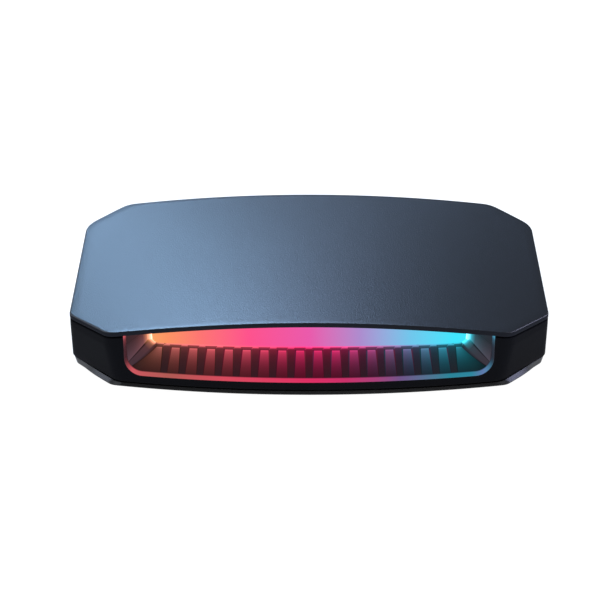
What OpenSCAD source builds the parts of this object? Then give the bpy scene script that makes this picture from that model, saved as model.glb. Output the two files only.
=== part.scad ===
// Video capture box with a lit, ribbed recess in its bowed front.
// Millimetres. +Z is up, the lit front faces -Y and the ports face +Y.
// The origin lies on the table, under the middle of the box.

/* [Case outline] */
// Width across the top cover
case_w = 120; // [116:1:130]
// Depth from the middle of the front edge to the rear edge
case_d = 70; // [69:1:80]
// Plan radius of the bowed front
front_r = 219; // [190:1:400]
// Width of the front corner cut, along X
front_cut_x = 10.9; // [8:0.1:12.5]
// Distance from the front line back to the end of the front corner cut
front_cut_y = 18.5; // [16:0.1:20]
// Width of the rear corner cut, along X
rear_cut_x = 10.4; // [7:0.1:12]
// Depth of the rear corner cut, along Y
rear_cut_y = 8.7; // [6:0.1:11]
// Radius of the outline's corners
corner_r = 4; // [2:0.1:5]
// How far the body's front corner cuts lean in towards the bottom
cut_lean = 1.05; // [0:0.05:1.2]

/* [Roof] */
// Height of the cover's middle line at the front edge
ridge_front_h = 20.5; // [20:0.1:24]
// Height of the cover's middle line at the rear edge
ridge_rear_h = 27.6; // [26:0.1:32]
// Height of the cover's sides, carried on to the front line
eave_front_h = 11.5; // [11:0.1:14]
// Height of the cover's sides at the rear line
eave_rear_h = 23.4; // [22:0.1:26]

/* [Shells] */
// Wall of the body shell
wall_t = 2; // [1.6:0.1:2.4]
// Thickness of the top cover
cover_t = 2; // [1.6:0.1:2.6]
// Thickness of the cover's visible edge
cover_edge_t = 1.2; // [0.7:0.05:1.4]
// How far the cover stands out over the body
overhang = 0.05; // [0.05:0.05:0.8]
// Height of the dark groove under the cover's edge
groove_h = 0.4; // [0.2:0.05:0.8]
// Depth of that groove
groove_d = 0.8; // [0.5:0.05:1.1]
// Thickness of the bottom cover's floor
floor_t = 1.6; // [1.5:0.1:3]
// How far the bottom cover's edge lies in from the body's
rim_in = 0.55; // [0.3:0.05:1]
// Height of that edge
rim_edge_h = 0.2; // [0.1:0.05:0.4]
// Width of the bevel that rises from the edge towards the body
rim_bevel_w = 1.4; // [0.8:0.1:1.6]
// Height of that bevel
rim_bevel_h = 0.6; // [0.3:0.05:0.8]
// Width of the bottom cover's ledge that the body stands on
body_ledge = 0.35; // [0.2:0.05:0.6]
// Height of the rib that locates the bottom cover in the body
rim_rib_h = 1.2; // [0.6:0.1:1.3]
// Thickness of that rib
rim_rib_t = 1.4; // [1:0.1:2]

/* [Cover hooks] */
// Width of a hook
hook_w = 8; // [5:0.5:10]
// Thickness of a hook
hook_t = 1.2; // [1:0.1:1.6]
// Length of a hook below the cover
hook_l = 4.5; // [3.5:0.1:5.5]
// How far a hook's barb reaches into the wall
barb = 0.6; // [0.4:0.05:0.8]
// Hooks along each side, measured from the middle of the depth
side_hook_y = [-4, 13];
// Distance of the rear hooks from the middle
rear_hook_x = 24; // [20:0.5:30]

/* [Front recess] */
// Distance from the sides of the case to the opening in the front wall
mouth_in = 14.75; // [14:0.05:17]
// Height of the opening's lower edge above the table
sill_h = 4.5; // [4.3:0.05:5]
// Radius of the opening's lower corners
mouth_r = 4.4; // [3:0.1:5]
// Width of the lit bevel round the opening
trim_w = 0.65; // [0.5:0.05:1.2]
// Depth of that bevel
trim_bevel_d = 1.4; // [1:0.1:1.5]
// Depth of the lit trim from the front face
trim_d = 1.6; // [1.6:0.1:2.2]
// Distance from the front face to the diffuser
well_d = 9; // [8.5:0.1:9.5]
// How far the recess narrows on each side towards the diffuser
well_in = 5.65; // [4.5:0.05:5.8]
// How far its floor climbs towards the diffuser
well_up = 4.95; // [4:0.05:5.2]
// Radius of the recess's lower corners at the diffuser
well_r = 2; // [1.5:0.1:2.4]
// Plan radius of the diffuser
diffuser_r = 320; // [280:1:600]
// Thickness of the diffuser
diffuser_t = 1.5; // [1:0.1:2]
// Width of the ledge that the diffuser sits against
ledge_w = 0.8; // [0.5:0.05:1]
// Wall of the recess moulding
well_wall = 2; // [1.8:0.1:2.4]
// Spacing of the ribs in the floor of the recess
rib_pitch = 4.38; // [4:0.02:6]
// Least distance from the last rib to the end of the diffuser
rib_end = 3.5; // [3:0.1:6]
// Width of a rib
rib_w = 1.48; // [1:0.02:1.8]
// Depth of the hollows between the ribs at the back
hollow_d = 0.45; // [0.3:0.05:0.9]
// Depth of the hollows at the front
hollow_front_d = 0.05; // [0.05:0.05:0.2]
// Length of the slope that ends the hollows
hollow_run = 0.3; // [0.2:0.05:0.9]
// Bare strip of floor behind the hollows
hollow_back = 0.25; // [0.2:0.05:0.8]

/* [Light board] */
// Distance from the front face to the light board
led_board_y = 15; // [14.4:0.1:15.5]
// Thickness of the light board
led_board_t = 1; // [0.8:0.1:1.6]
// Number of lamps
led_n = 8; // [4:1:10]
// Width of a lamp
led_w = 3.5; // [2:0.1:5]
// Height of a lamp
led_h = 2.8; // [2:0.1:3.5]
// Thickness of a lamp
led_t = 1.4; // [0.8:0.1:1.6]
// Width of the ribbon cable
ribbon_w = 10; // [6:0.5:14]
// Thickness of the ribbon cable
ribbon_t = 0.3; // [0.2:0.05:0.4]

/* [Main board] */
// Room between the light board and the main board
board_gap = 5.4; // [4.5:0.1:6]
// Thickness of the main board
board_t = 1.6; // [1:0.1:2]
// Height of the pillars under the main board
standoff_h = 4.2; // [3.5:0.1:5]
// Radius of those pillars
standoff_r = 3; // [2.4:0.1:3.2]
// Width of the heat sink
sink_w = 36; // [30:1:38]
// Room in front of the heat sink
sink_front_gap = 3.5; // [2:0.1:6]
// Room behind the heat sink
sink_rear_gap = 3.1; // [2:0.1:6]
// Height of the heat sink's fins
fin_h = 6.5; // [3:0.1:7.5]
// Number of fins
fin_n = 9; // [5:1:11]
// Thickness of a fin
fin_t = 1.2; // [0.8:0.1:1.6]

/* [Ports] */
// How far the ports lie behind the rear face
port_recess = 0.5; // [0.3:0.1:1]
// Distance from the right side of the case to the headset jack
headset_in = 21; // [20:0.5:22]
// Distance from there to the controller's jack
jack_pitch = 11.5; // [10.5:0.5:12]
// Place of the video input
video_in_x = 8; // [7:0.5:9]
// Place of the video output
video_out_x = -15; // [-16:0.5:-14]
// Distance from the left side of the case to the data port
data_in = 24; // [23:0.5:26]
// Radius of an audio jack's bore
jack_bore_r = 1.8; // [1.75:0.01:1.85]
// Length of that bore
jack_bore_l = 13.5; // [12:0.1:13.5]

/* [Feet and screws] */
// Height of the box's floor above the table
foot_h = 1; // [0.6:0.1:2]
// Radius of a foot
foot_r = 4.5; // [3.5:0.1:4.8]
// Depth of a foot's seat in the bottom cover
foot_seat = 0.5; // [0.3:0.1:0.8]
// Radius of a case screw's shank
screw_r = 1.25; // [1:0.05:1.4]
// Distance of the case screws from the sides of the case
screw_in = 9.5; // [9:0.1:10]
// Distance of the front screws from the front line
screw_front = 19; // [18.5:0.1:20]
// Distance of the rear screws from the rear edge
screw_rear = 13; // [12:0.1:14]

/* [Hidden] */
$fn = 48;

// Clearances: a push fit, a seat, a sliding fit and room round a port or a board
seat = 0.05;
fit = 0.15;
slack = 0.3;
room = 0.8;
// Cutting tools reach this far past what they cut
past = 1;
// Nothing in the case is taller than this
headroom = 10;
tall = ridge_rear_h + headroom;
// No outline has a tighter corner than this
least_r = 0.5;

front_y = -case_d / 2;
rear_y = case_d / 2;
face_y = front_y + overhang;
rear_face_y = rear_y - overhang;
rear_inner_y = rear_face_y - wall_t;
inner = overhang + wall_t;
lining = inner + fit;
floor_z = foot_h + floor_t;
boss_h = 2.2;
boss_top = floor_z + boss_h;
board_z = floor_z + standoff_h;
board_top = board_z + board_t;
led_face_y = face_y + led_board_y;
board_front_y = led_face_y + led_board_t + board_gap;
board_rear_y = rear_inner_y - room;

function mix(a, b, t) = a + (b - a) * t;

// Height of the cover at a point: straight from front to rear, arched across,
// with the arch flattening towards the rear.
function roof_h(x, y) =
    let (t = (y - front_y) / case_d,
         eave = mix(eave_front_h, eave_rear_h, t),
         ridge = mix(ridge_front_h, ridge_rear_h, t))
    eave + (ridge - eave) * (1 - pow(2 * x / case_w, 2));

// Arc that rounds the corner at p between the directions back and on.
function rounded(p, back, on, r, steps = 6) =
    let (half = acos(back * on) / 2,
         middle = (back + on) / norm(back + on),
         centre = p + middle * r / sin(half),
         first = p + back * r / tan(half) - centre,
         sweep = 180 - 2 * half)
    [for (i = [0:steps]) let (a = sweep * i / steps)
        centre + [first.x * cos(a) - first.y * sin(a), first.x * sin(a) + first.y * cos(a)]];

// Plan outline of the case, moved inwards by inset: a bowed front, straight
// sides and rear, and four cut corners. The front cuts go in by lean as well.
function half_outline(inset, lean) =
    let (side = case_w / 2,
         bow_c = front_y + front_r,
         bow_r = front_r - inset,
         cut_a = [side, front_y + front_cut_y],
         cut_b = [side - front_cut_x, bow_c - sqrt(front_r * front_r - pow(side - front_cut_x, 2))],
         along = (cut_a - cut_b) / norm(cut_a - cut_b),
         out = [along.y, -along.x],
         reach = out * cut_a - inset - lean,
         depth = out * [0, bow_c] - reach,
         front_corner = [0, bow_c] - depth * out - along * sqrt(bow_r * bow_r - depth * depth),
         side_corner = [side - inset, (reach - out.x * (side - inset)) / out.y],
         rear_along = [-rear_cut_x, rear_cut_y] / norm([rear_cut_x, rear_cut_y]),
         rear_out = [rear_along.y, -rear_along.x],
         rear_reach = rear_out * [side, rear_y - rear_cut_y] - inset,
         rear_side = [side - inset, (rear_reach - rear_out.x * (side - inset)) / rear_out.y],
         rear_corner = [(rear_reach - rear_out.y * (rear_y - inset)) / rear_out.x, rear_y - inset],
         r = max(corner_r - inset, least_r),
         tangent = [front_corner.y - bow_c, -front_corner.x] / bow_r,
         steps = 14,
         bow_share = 0.94,
         bow_end = asin(front_corner.x / bow_r) * bow_share)
    concat(
        [for (i = [0:steps]) let (a = bow_end * i / steps) [bow_r * sin(a), bow_c - bow_r * cos(a)]],
        rounded(front_corner, tangent, along, r),
        rounded(side_corner, -along, [0, 1], r),
        rounded(rear_side, [0, -1], rear_along, r),
        rounded(rear_corner, -rear_along, [-1, 0], r));

function outline(inset, lean) =
    let (right = half_outline(inset, lean), n = len(right))
    concat(right, [for (i = [n - 1:-1:1]) [-right[i].x, right[i].y]]);

// Closed loft through sections. A section is a row of stations across X,
// each with its x, its y, and the heights of the loft's underside and top.
module loft(sections) {
    n = len(sections[0]);
    m = len(sections);
    function at(j, i, k) = (j * n + i) * 2 + k;
    function quad(a, b, c, d) = [[a, b, c], [a, c, d]];
    rows = [for (j = [0:m - 2], i = [0:n - 2]) each concat(
        quad(at(j, i, 0), at(j, i + 1, 0), at(j + 1, i + 1, 0), at(j + 1, i, 0)),
        quad(at(j + 1, i, 1), at(j + 1, i + 1, 1), at(j, i + 1, 1), at(j, i, 1)))];
    ends = [for (i = [0:n - 2]) each concat(
        quad(at(0, i, 0), at(0, i, 1), at(0, i + 1, 1), at(0, i + 1, 0)),
        quad(at(m - 1, i, 0), at(m - 1, i + 1, 0), at(m - 1, i + 1, 1), at(m - 1, i, 1)))];
    sides = [for (j = [0:m - 2]) each concat(
        quad(at(j, 0, 0), at(j + 1, 0, 0), at(j + 1, 0, 1), at(j, 0, 1)),
        quad(at(j, n - 1, 0), at(j, n - 1, 1), at(j + 1, n - 1, 1), at(j + 1, n - 1, 0)))];
    polyhedron([for (s = sections, p = s, z = [p[2], p[3]]) [p.x, p.y, z]], concat(rows, ends, sides));
}

// Everything that lies more than drop below the cover's top.
module under_roof(drop) {
    strips = 48;
    reach = case_w / 2 + past;
    loft([for (y = [front_y - past, rear_y + past])
        [for (i = [0:strips]) let (x = mix(-reach, reach, i / strips)) [x, y, -past, roof_h(x, y) - drop]]]);
}

module case_prism(inset, z0, z1) {
    translate([0, 0, z0])
        linear_extrude(z1 - z0) polygon(outline(inset, 0));
}

// Closed solid through outlines of the case, each given by its inset, lean and height, from the bottom up.
module case_loft(rings) {
    loops = [for (r = rings) outline(r[0], r[1])];
    n = len(loops[0]);
    m = len(rings);
    function at(j, i) = j * n + i % n;
    sides = [for (j = [0:m - 2], i = [0:n - 1]) each [
        [at(j, i), at(j + 1, i), at(j + 1, i + 1)],
        [at(j, i), at(j + 1, i + 1), at(j, i + 1)]]];
    ends = [[for (i = [0:n - 1]) at(0, i)], [for (i = [n - 1:-1:0]) at(m - 1, i)]];
    polyhedron([for (j = [0:m - 1], p = loops[j]) [p.x, p.y, rings[j][2]]], concat(sides, ends));
}

module both_sides() {
    children();
    mirror([1, 0, 0]) children();
}

// Places of the case screws, and of the feet over them
screw_x = case_w / 2 - screw_in;
screw_ys = [front_y + screw_front, rear_y - screw_rear];

module at_case_screws() {
    for (side = [-1, 1], y = screw_ys)
        translate([side * screw_x, y, 0]) children();
}

// Pan-head screw that points up, its head's seat at z = 0
module pan_screw(r, length, head_r, head_h) {
    crown_h = head_h * 0.4;
    crown_r = head_r * 0.8;
    cylinder(r = r, h = length);
    translate([0, 0, -head_h]) cylinder(r1 = crown_r, r2 = head_r, h = crown_h);
    translate([0, 0, crown_h - head_h]) cylinder(r = head_r, h = head_h - crown_h);
}

// Seats of the cover's hooks: depth along the wall, then the turn that faces the wall outwards along X
hook_seats = concat(
    [for (y = side_hook_y, turn = [0, 180]) [case_w / 2 - inner, [0, y], turn]],
    [for (side = [-1, 1]) [rear_inner_y, [side * rear_hook_x, 0], 90]]);
hook_barb_h = 1.4;

function hook_foot(s) =
    let (p = s[2] == 90 ? [s[1].x, s[0]] : [s[0], s[1].y])
    roof_h(p.x, p.y) - cover_t - hook_l;

module at_hook(s) {
    translate([s[1].x, s[1].y, hook_foot(s)])
        rotate(s[2]) translate([s[0], 0, 0]) children();
}

module top_cover() color("#3c4650") {
    barb_outline = [[-seat, 0], [fit + barb, hook_barb_h], [-seat, hook_barb_h]];
    difference() {
        intersection() {
            case_prism(0, past, tall);
            under_roof(0);
        }
        difference() {
            under_roof(cover_edge_t);
            case_prism(lining, 0, tall);
        }
        under_roof(cover_t);
    }
    intersection() {
        for (s = hook_seats) at_hook(s) {
            translate([-fit - hook_t, -hook_w / 2, 0]) cube([hook_t, hook_w, tall]);
            translate([-fit, hook_w / 2, 0]) rotate([90, 0, 0])
                linear_extrude(hook_w) polygon(barb_outline);
        }
        under_roof(cover_t - seat);
    }
}

// Recess values: the trim's inner edge is the front of the ribbed well, and
// the well's back edge frames the diffuser.
mouth_hw = case_w / 2 - mouth_in;
trim_hw = mouth_hw - trim_w;
trim_sill = sill_h + trim_w;
trim_r = max(mouth_r - trim_w, 1);
well_hw = trim_hw - well_in;
well_sill = trim_sill + well_up;
// The middle of the well runs straight back between these widths
straight_margin = 0.4;
straight_hw = well_hw - well_r - straight_margin;
face_r = front_r - overhang;

// A plan radius of flat stands for no bow at all
flat = 0;

function bowed(x, y0, r) = r == flat ? y0 : y0 + r - sqrt(r * r - x * x);

// One section of the recess: hw wide each way, with its floor at sill and round lower corners.
function recess(hw, sill, r, y0, bow_r, drop) =
    let (bends = 6,
         middle = 24,
         corner = [for (i = [0:bends]) hw - r * (1 - cos(90 * i / bends))],
         xs = concat([for (x = corner) -x],
             [for (i = [0:middle]) mix(-straight_hw, straight_hw, i / middle)],
             [for (i = [bends:-1:0]) corner[i]]))
    [for (x = xs)
        let (y = bowed(x, y0, bow_r),
             over = max(abs(x) - hw + r, 0))
        [x, y, sill + r - sqrt(max(r * r - over * over, 0)), roof_h(x, y) - drop]];

module mouth_cut() {
    loft([for (d = [-past, wall_t + 2 * past])
        recess(mouth_hw, sill_h, mouth_r, face_y + d, face_r - d, -past)]);
}

headset_x = case_w / 2 - headset_in;
pad_jack_x = headset_x - jack_pitch;
data_x = data_in - case_w / 2;

module port_openings() {
    for (x = [headset_x, pad_jack_x])
        translate([x, rear_face_y + past, jack_z]) rotate([90, 0, 0])
            cylinder(r = jack_nose_r + slack, h = wall_t + 2 * past);
    for (x = [video_in_x, video_out_x])
        translate([x, rear_face_y + past, video_z]) rotate([90, 0, 0])
            linear_extrude(wall_t + 2 * past) video_outline(-slack);
    translate([data_x, rear_face_y + past, data_z]) rotate([90, 0, 0])
        linear_extrude(wall_t + 2 * past) data_outline(-slack);
}

post_r = 2.8;
post_h = 6.5;
web_t = 2;

module body_shell() color("#16181b") {
    difference() {
        intersection() {
            case_loft([[overhang, cut_lean, floor_z], [overhang, 0, eave_front_h], [overhang, 0, tall]]);
            under_roof(cover_edge_t + seat);
        }
        case_prism(inner, 0, tall);
        difference() {
            case_prism(-past, floor_z + past, tall);
            case_prism(overhang + groove_d, 0, tall + past);
            under_roof(cover_edge_t + groove_h);
        }
        mouth_cut();
        port_openings();
        for (s = hook_seats) at_hook(s)
            translate([-past, -hook_w / 2 - slack, -slack])
                cube([past + barb + fit, hook_w + 2 * slack, hook_barb_h + 2 * slack]);
    }
    difference() {
        union() {
            at_case_screws() translate([0, 0, boss_top]) cylinder(r = post_r, h = post_h);
            intersection() {
                for (side = [-1, 1], y = screw_ys)
                    translate([side * (screw_x + case_w / 2) / 2, y, boss_top + post_h / 2])
                        cube([case_w / 2 - screw_x, web_t, post_h], center = true);
                case_prism(overhang + wall_t / 2, 0, tall);
            }
        }
        at_case_screws() translate([0, 0, boss_top - past]) cylinder(r = screw_r + seat, h = post_h);
    }
}

// Rear ports: each stands on the main board with its mouth just inside the rear face
port_y = rear_face_y - port_recess;
jack_back_y = port_y - jack_bore_l - past;
video_l = 12;
data_l = 8;

standoff_in = 8;
standoff_front = 4.2;
standoff_rear = 6.6;
standoff_x = screw_x - standoff_in;
standoff_ys = [board_front_y + standoff_front, jack_back_y - standoff_rear];
pilot_r = 1.2;

module at_standoffs() {
    for (side = [-1, 1], y = standoff_ys)
        translate([side * standoff_x, y, 0]) children();
}

// Pillars that carry the ears of the well
ear_r = 2.6;
ear_t = 1.6;
ear_drop = 0.3;
ear_out = 2.1;
ear_back = 2;
ear_z = well_sill - well_wall - ear_drop;
ear_x = mouth_hw + ear_out;
ear_y = face_y + led_board_y - ear_back;

head_h = 1.3;
head_r = 2.4;
boss_r = 4;
vent_n = 9;
vent_w = 2;
vent_l = 24;
vent_pitch = 6;

module slot(w, l) {
    square([w, l - w], center = true);
    for (end = [-1, 1]) translate([0, end * (l - w) / 2]) circle(r = w / 2);
}

module bottom_cover() color("#17191c") {
    difference() {
        union() {
            case_loft([
                [overhang + rim_in, 0, foot_h],
                [overhang + rim_in, 0, foot_h + rim_edge_h],
                [overhang + rim_in + rim_bevel_w, 0, foot_h + rim_edge_h + rim_bevel_h]]);
            case_prism(inner - body_ledge, foot_h + rim_edge_h, floor_z);
            difference() {
                case_prism(lining, floor_z - seat, floor_z + rim_rib_h);
                case_prism(lining + rim_rib_t, 0, tall);
            }
            translate([0, 0, floor_z - seat]) {
                at_case_screws() cylinder(r = boss_r, h = boss_h + seat);
                at_standoffs() cylinder(r = standoff_r, h = standoff_h + seat);
                both_sides() translate([ear_x, ear_y, 0]) cylinder(r = ear_r, h = ear_z - floor_z + seat);
            }
        }
        at_case_screws() {
            translate([0, 0, foot_h - past]) cylinder(r = foot_r + fit, h = past + foot_seat);
            cylinder(r = head_r + slack, h = foot_h + foot_seat + head_h + slack);
            cylinder(r = screw_r + slack, h = tall);
        }
        at_standoffs() translate([0, 0, floor_z]) cylinder(r = pilot_r + seat, h = standoff_h + past);
        both_sides() translate([ear_x, ear_y, floor_z]) cylinder(r = pilot_r + seat, h = tall);
        for (i = [0:vent_n - 1])
            translate([(i - (vent_n - 1) / 2) * vent_pitch, sink_y, 0])
                linear_extrude(tall) slot(vent_w, vent_l);
    }
}

module rubber_feet() color("#202124") {
    round_r = min(least_r, foot_h / 2);
    at_case_screws() rotate_extrude() {
        square([foot_r - round_r, foot_h + foot_seat]);
        translate([0, round_r]) square([foot_r, foot_h + foot_seat - round_r]);
        translate([foot_r - round_r, round_r]) circle(r = round_r);
    }
}

module case_screws() color("#8d9196") {
    at_case_screws() translate([0, 0, foot_h + foot_seat + head_h + slack])
        pan_screw(screw_r, boss_top + post_h - 2 * past - foot_h - foot_seat - head_h, head_r, head_h);
}

module light_trim() color("#e0607c") {
    top = cover_edge_t + seat + fit;
    land = 0.1;
    lip_hw = mouth_hw - land - seat;
    lip_sill = sill_h + land + seat;
    lip_r = mouth_r - land;
    difference() {
        loft([for (d = [0, trim_d])
            recess(mouth_hw - seat, sill_h + seat, mouth_r - seat, face_y + d, face_r - d, top)]);
        loft([
            recess(lip_hw, lip_sill, lip_r, face_y - past, face_r + past, -past),
            recess(lip_hw, lip_sill, lip_r, face_y, face_r, -past),
            recess(trim_hw, trim_sill, trim_r, face_y + trim_bevel_d, face_r - trim_bevel_d, -past),
            recess(trim_hw, trim_sill, trim_r, face_y + trim_d + past, face_r - trim_d - past, -past)]);
    }
}

// Hollow between two ribs, cut into the well's floor or side: four corners of
// its bed, then four corners above the surface. The side walls lean out at 45 degrees.
module hollow(corners) {
    polyhedron(corners, [[0, 1, 2], [0, 2, 3], [4, 6, 5], [4, 7, 6], [0, 4, 5], [0, 5, 1],
        [1, 5, 6], [1, 6, 2], [2, 6, 7], [2, 7, 3], [3, 7, 4], [3, 4, 0]]);
}

// Point of the well's floor at x, a share s of the way to the diffuser
function well_floor(x, s, lift) =
    [x, mix(bowed(x, face_y + trim_d, face_r - trim_d), bowed(x, face_y + well_d, diffuser_r), s),
        mix(trim_sill, well_sill, s) + lift];

// Point of the well's right side: h is the share of the way up its flat part
function well_side(h, s, lift) =
    let (x = mix(trim_hw, well_hw, s),
         front = bowed(trim_hw, face_y + trim_d, face_r - trim_d),
         y = mix(front, bowed(well_hw, face_y + well_d, diffuser_r), s),
         low = mix(trim_sill + trim_r, well_sill + well_r, s))
    [x - lift, y, mix(low, roof_h(x, y) - cover_t, h)];

hollow_end = 1 - hollow_back / (well_d - trim_d);
hollow_rise = 0.5;
// The hollows run out through the well's front end
s0 = -0.02;

module floor_hollow(x0, x1, x1_back) {
    run = hollow_run / (well_d - trim_d);
    d = hollow_front_d;
    deep = hollow_d;
    up = hollow_rise;
    lip = hollow_end + up * run / hollow_d;
    hollow([
        well_floor(x0 + d, s0, -d), well_floor(x1 - d, s0, -d),
        well_floor(x1_back - deep, hollow_end - run, -deep), well_floor(x0 + deep, hollow_end - run, -deep),
        well_floor(x0 - up, s0, up), well_floor(x1 + up, s0, up),
        well_floor(x1_back + up, lip, up), well_floor(x0 - up, lip, up)]);
}

// Share of the side's flat part that its hollow takes up
side_hollow_h = 0.55;

module side_hollow(h0, h1) {
    run = hollow_run / (well_d - trim_d);
    d = hollow_front_d;
    up = hollow_rise;
    lean = 0.08;
    lip = hollow_end + up * run / hollow_d;
    hollow([
        well_side(h0, s0, -d), well_side(h1, s0, -d),
        well_side(h1 - lean, hollow_end - run, -hollow_d), well_side(h0 + lean, hollow_end - run, -hollow_d),
        well_side(h0 - lean, s0, up), well_side(h1 + lean, s0, up),
        well_side(h1 + lean, lip, up), well_side(h0 - lean, lip, up)]);
}

flange_w = 2.2;
led_hw = well_hw + ledge_w + well_wall + flange_w;
led_screw_x = led_hw - flange_w + fit;
led_screw_up = 1.9;
led_screw_z = well_sill + led_screw_up;
led_screw_r = 0.9;
flange_d = 3;

module light_well() color("#3a3136") {
    outer_hw = well_hw + ledge_w + well_wall;
    outer_sill = well_sill - ledge_w - well_wall;
    under = cover_t + fit;
    front = face_y + trim_d;
    ledge_r = well_r + ledge_w;
    half = floor((well_hw - rib_end) / rib_pitch);
    difference() {
        union() {
            loft([
                recess(mouth_hw - fit, sill_h + fit, mouth_r - fit, front + seat, face_r - trim_d, under),
                recess(outer_hw, outer_sill, ledge_r, face_y + well_d - past, diffuser_r, under),
                recess(outer_hw, outer_sill, ledge_r, led_face_y - seat, flat, under)]);
            loft([for (y = [led_face_y - flange_d, led_face_y - seat])
                recess(led_hw, outer_sill, well_r, y, flat, under)]);
            both_sides() translate([0, 0, ear_z]) linear_extrude(ear_t) {
                translate([ear_x, ear_y]) circle(r = ear_r);
                translate([outer_hw - past, ear_y - ear_r])
                    square([ear_x - outer_hw + past, min(2 * ear_r, led_face_y - seat - ear_y + ear_r)]);
            }
        }
        loft([
            recess(trim_hw, trim_sill, trim_r, face_y, face_r, -past),
            recess(trim_hw, trim_sill, trim_r, front, face_r - trim_d, -past),
            recess(well_hw, well_sill, well_r, face_y + well_d, diffuser_r, -past),
            recess(well_hw, well_sill, well_r, face_y + well_d + past, diffuser_r, -past)]);
        loft([
            recess(well_hw + ledge_w, well_sill - ledge_w, ledge_r, face_y + well_d, diffuser_r, -past),
            recess(well_hw + ledge_w, well_sill - ledge_w, ledge_r, led_face_y + past, flat, -past)]);
        for (i = [-half:half - 1]) {
            x0 = i * rib_pitch + rib_w / 2;
            x1 = (i + 1) * rib_pitch - rib_w / 2;
            floor_hollow(x0, x1, x1);
        }
        both_sides() {
            floor_hollow(half * rib_pitch + rib_w / 2, trim_hw - trim_r / 2, well_hw - well_r / 2);
            side_hollow(0, side_hollow_h);
        }
        both_sides() {
            translate([ear_x, ear_y, 0]) cylinder(r = pilot_r + fit, h = tall);
            translate([led_screw_x, led_face_y + past, led_screw_z]) rotate([90, 0, 0])
                cylinder(r = led_screw_r + seat, h = flange_d + past - slack);
        }
    }
}

module light_diffuser() color("#f3a0c8") {
    gap = fit;
    loft([for (d = [0, diffuser_t])
        recess(well_hw + ledge_w - gap, well_sill - ledge_w + gap, well_r + ledge_w - gap,
            face_y + well_d + seat + d, diffuser_r, cover_t + slack)]);
}

led_up = 2.6;
led_z = well_sill + led_up;

module led_board() color("#1d4a38") {
    corner = 1;
    difference() {
        loft([for (y = [led_face_y, led_face_y + led_board_t])
            recess(led_hw, well_sill - ledge_w - well_wall, corner, y, flat, cover_t + slack)]);
        both_sides() translate([led_screw_x, led_face_y - past, led_screw_z]) rotate([-90, 0, 0])
            cylinder(r = led_screw_r + fit, h = led_board_t + 2 * past);
    }
}

module leds() color("#f4f1e6") {
    pitch = 2 * (well_hw - led_w) / led_n;
    dish_d = 0.25;
    dish_r = led_h * 0.4;
    for (i = [0:led_n - 1])
        translate([(i - (led_n - 1) / 2) * pitch, led_face_y, led_z]) difference() {
            translate([-led_w / 2, -led_t, -led_h / 2]) cube([led_w, led_t, led_h]);
            translate([0, -led_t + dish_d, 0]) rotate([90, 0, 0]) cylinder(r = dish_r, h = past);
        }
}

small_head_r = 1.6;
small_head_h = 1;
board_head_r = 2.1;
board_head_h = 1.2;

module led_board_screws() color("#8d9196") {
    both_sides() translate([led_screw_x, led_face_y + led_board_t, led_screw_z]) rotate([90, 0, 0])
        pan_screw(led_screw_r, led_board_t + flange_d - past, small_head_r, small_head_h);
}

module well_screws() color("#8d9196") {
    both_sides() translate([ear_x, ear_y, ear_z + ear_t]) rotate([180, 0, 0])
        pan_screw(pilot_r, ear_z + ear_t - floor_z - past, board_head_r, board_head_h);
}

// Ribbon cable between the two boards: up out of one socket, over and down into the other
socket_end = 1.5;
socket_w = ribbon_w + 2 * socket_end;
led_socket_d = 2.4;
led_socket_h = 4;
led_socket_z = well_sill - past;
board_socket_d = 3.4;
board_socket_h = 3;
board_socket_in = 3;
board_socket_y = board_front_y + board_socket_in;
ribbon_in = 1.5;
ribbon_y0 = led_face_y + led_board_t + led_socket_d / 2;
ribbon_r = (board_socket_y - ribbon_y0) / 2;
ribbon_rise = 0.6;
ribbon_top = led_socket_z + led_socket_h + ribbon_rise;

module socket_block(d, h) {
    difference() {
        translate([-socket_w / 2, -d / 2, 0]) cube([socket_w, d, h]);
        translate([-ribbon_w / 2 - fit, -ribbon_t / 2 - seat, h - ribbon_in - seat])
            cube([ribbon_w + 2 * fit, ribbon_t + 2 * seat, tall]);
    }
}

module led_socket() color("#e8e2cf") {
    translate([0, ribbon_y0, led_socket_z]) socket_block(led_socket_d, led_socket_h);
}

module board_socket() color("#e8e2cf") {
    translate([0, board_socket_y, board_top]) socket_block(board_socket_d, board_socket_h);
}

module ribbon_cable() color("#d8dadd") {
    t = ribbon_t;
    down0 = led_socket_z + led_socket_h - ribbon_in;
    down1 = board_top + board_socket_h - ribbon_in;
    translate([-ribbon_w / 2, 0, 0]) rotate([90, 0, 90]) linear_extrude(ribbon_w) {
        translate([ribbon_y0 - t / 2, down0]) square([t, ribbon_top - down0]);
        translate([board_socket_y - t / 2, down1]) square([t, ribbon_top - down1]);
        translate([ribbon_y0 + ribbon_r, ribbon_top]) difference() {
            circle(r = ribbon_r + t / 2);
            circle(r = ribbon_r - t / 2);
            translate([-tall, -2 * tall]) square(2 * tall);
        }
    }
}

board_hw = screw_x - post_r - 2 * room;
sink_front_y = board_socket_y + board_socket_d / 2 + sink_front_gap;
sink_rear_y = port_y - video_l - sink_rear_gap;
sink_d = sink_rear_y - sink_front_y;
sink_y = (sink_front_y + sink_rear_y) / 2;
sink_pin_in = 3;
sink_pin_x = sink_w / 2 - sink_pin_in;
sink_pin_y = sink_d / 2 - sink_pin_in;
sink_pin_r = 1.1;
sink_pin_head_r = 2.2;
sink_pin_head_h = 1.2;
sink_pin_tail = 0.8;

module main_board() color("#14352b") {
    difference() {
        translate([-board_hw, board_front_y, board_z])
            cube([2 * board_hw, board_rear_y - board_front_y, board_t]);
        at_standoffs() cylinder(r = pilot_r + fit, h = tall);
        for (side = [-1, 1]) translate([side * sink_pin_x, sink_y + side * sink_pin_y, 0])
            cylinder(r = sink_pin_r + fit, h = tall);
    }
}

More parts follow.
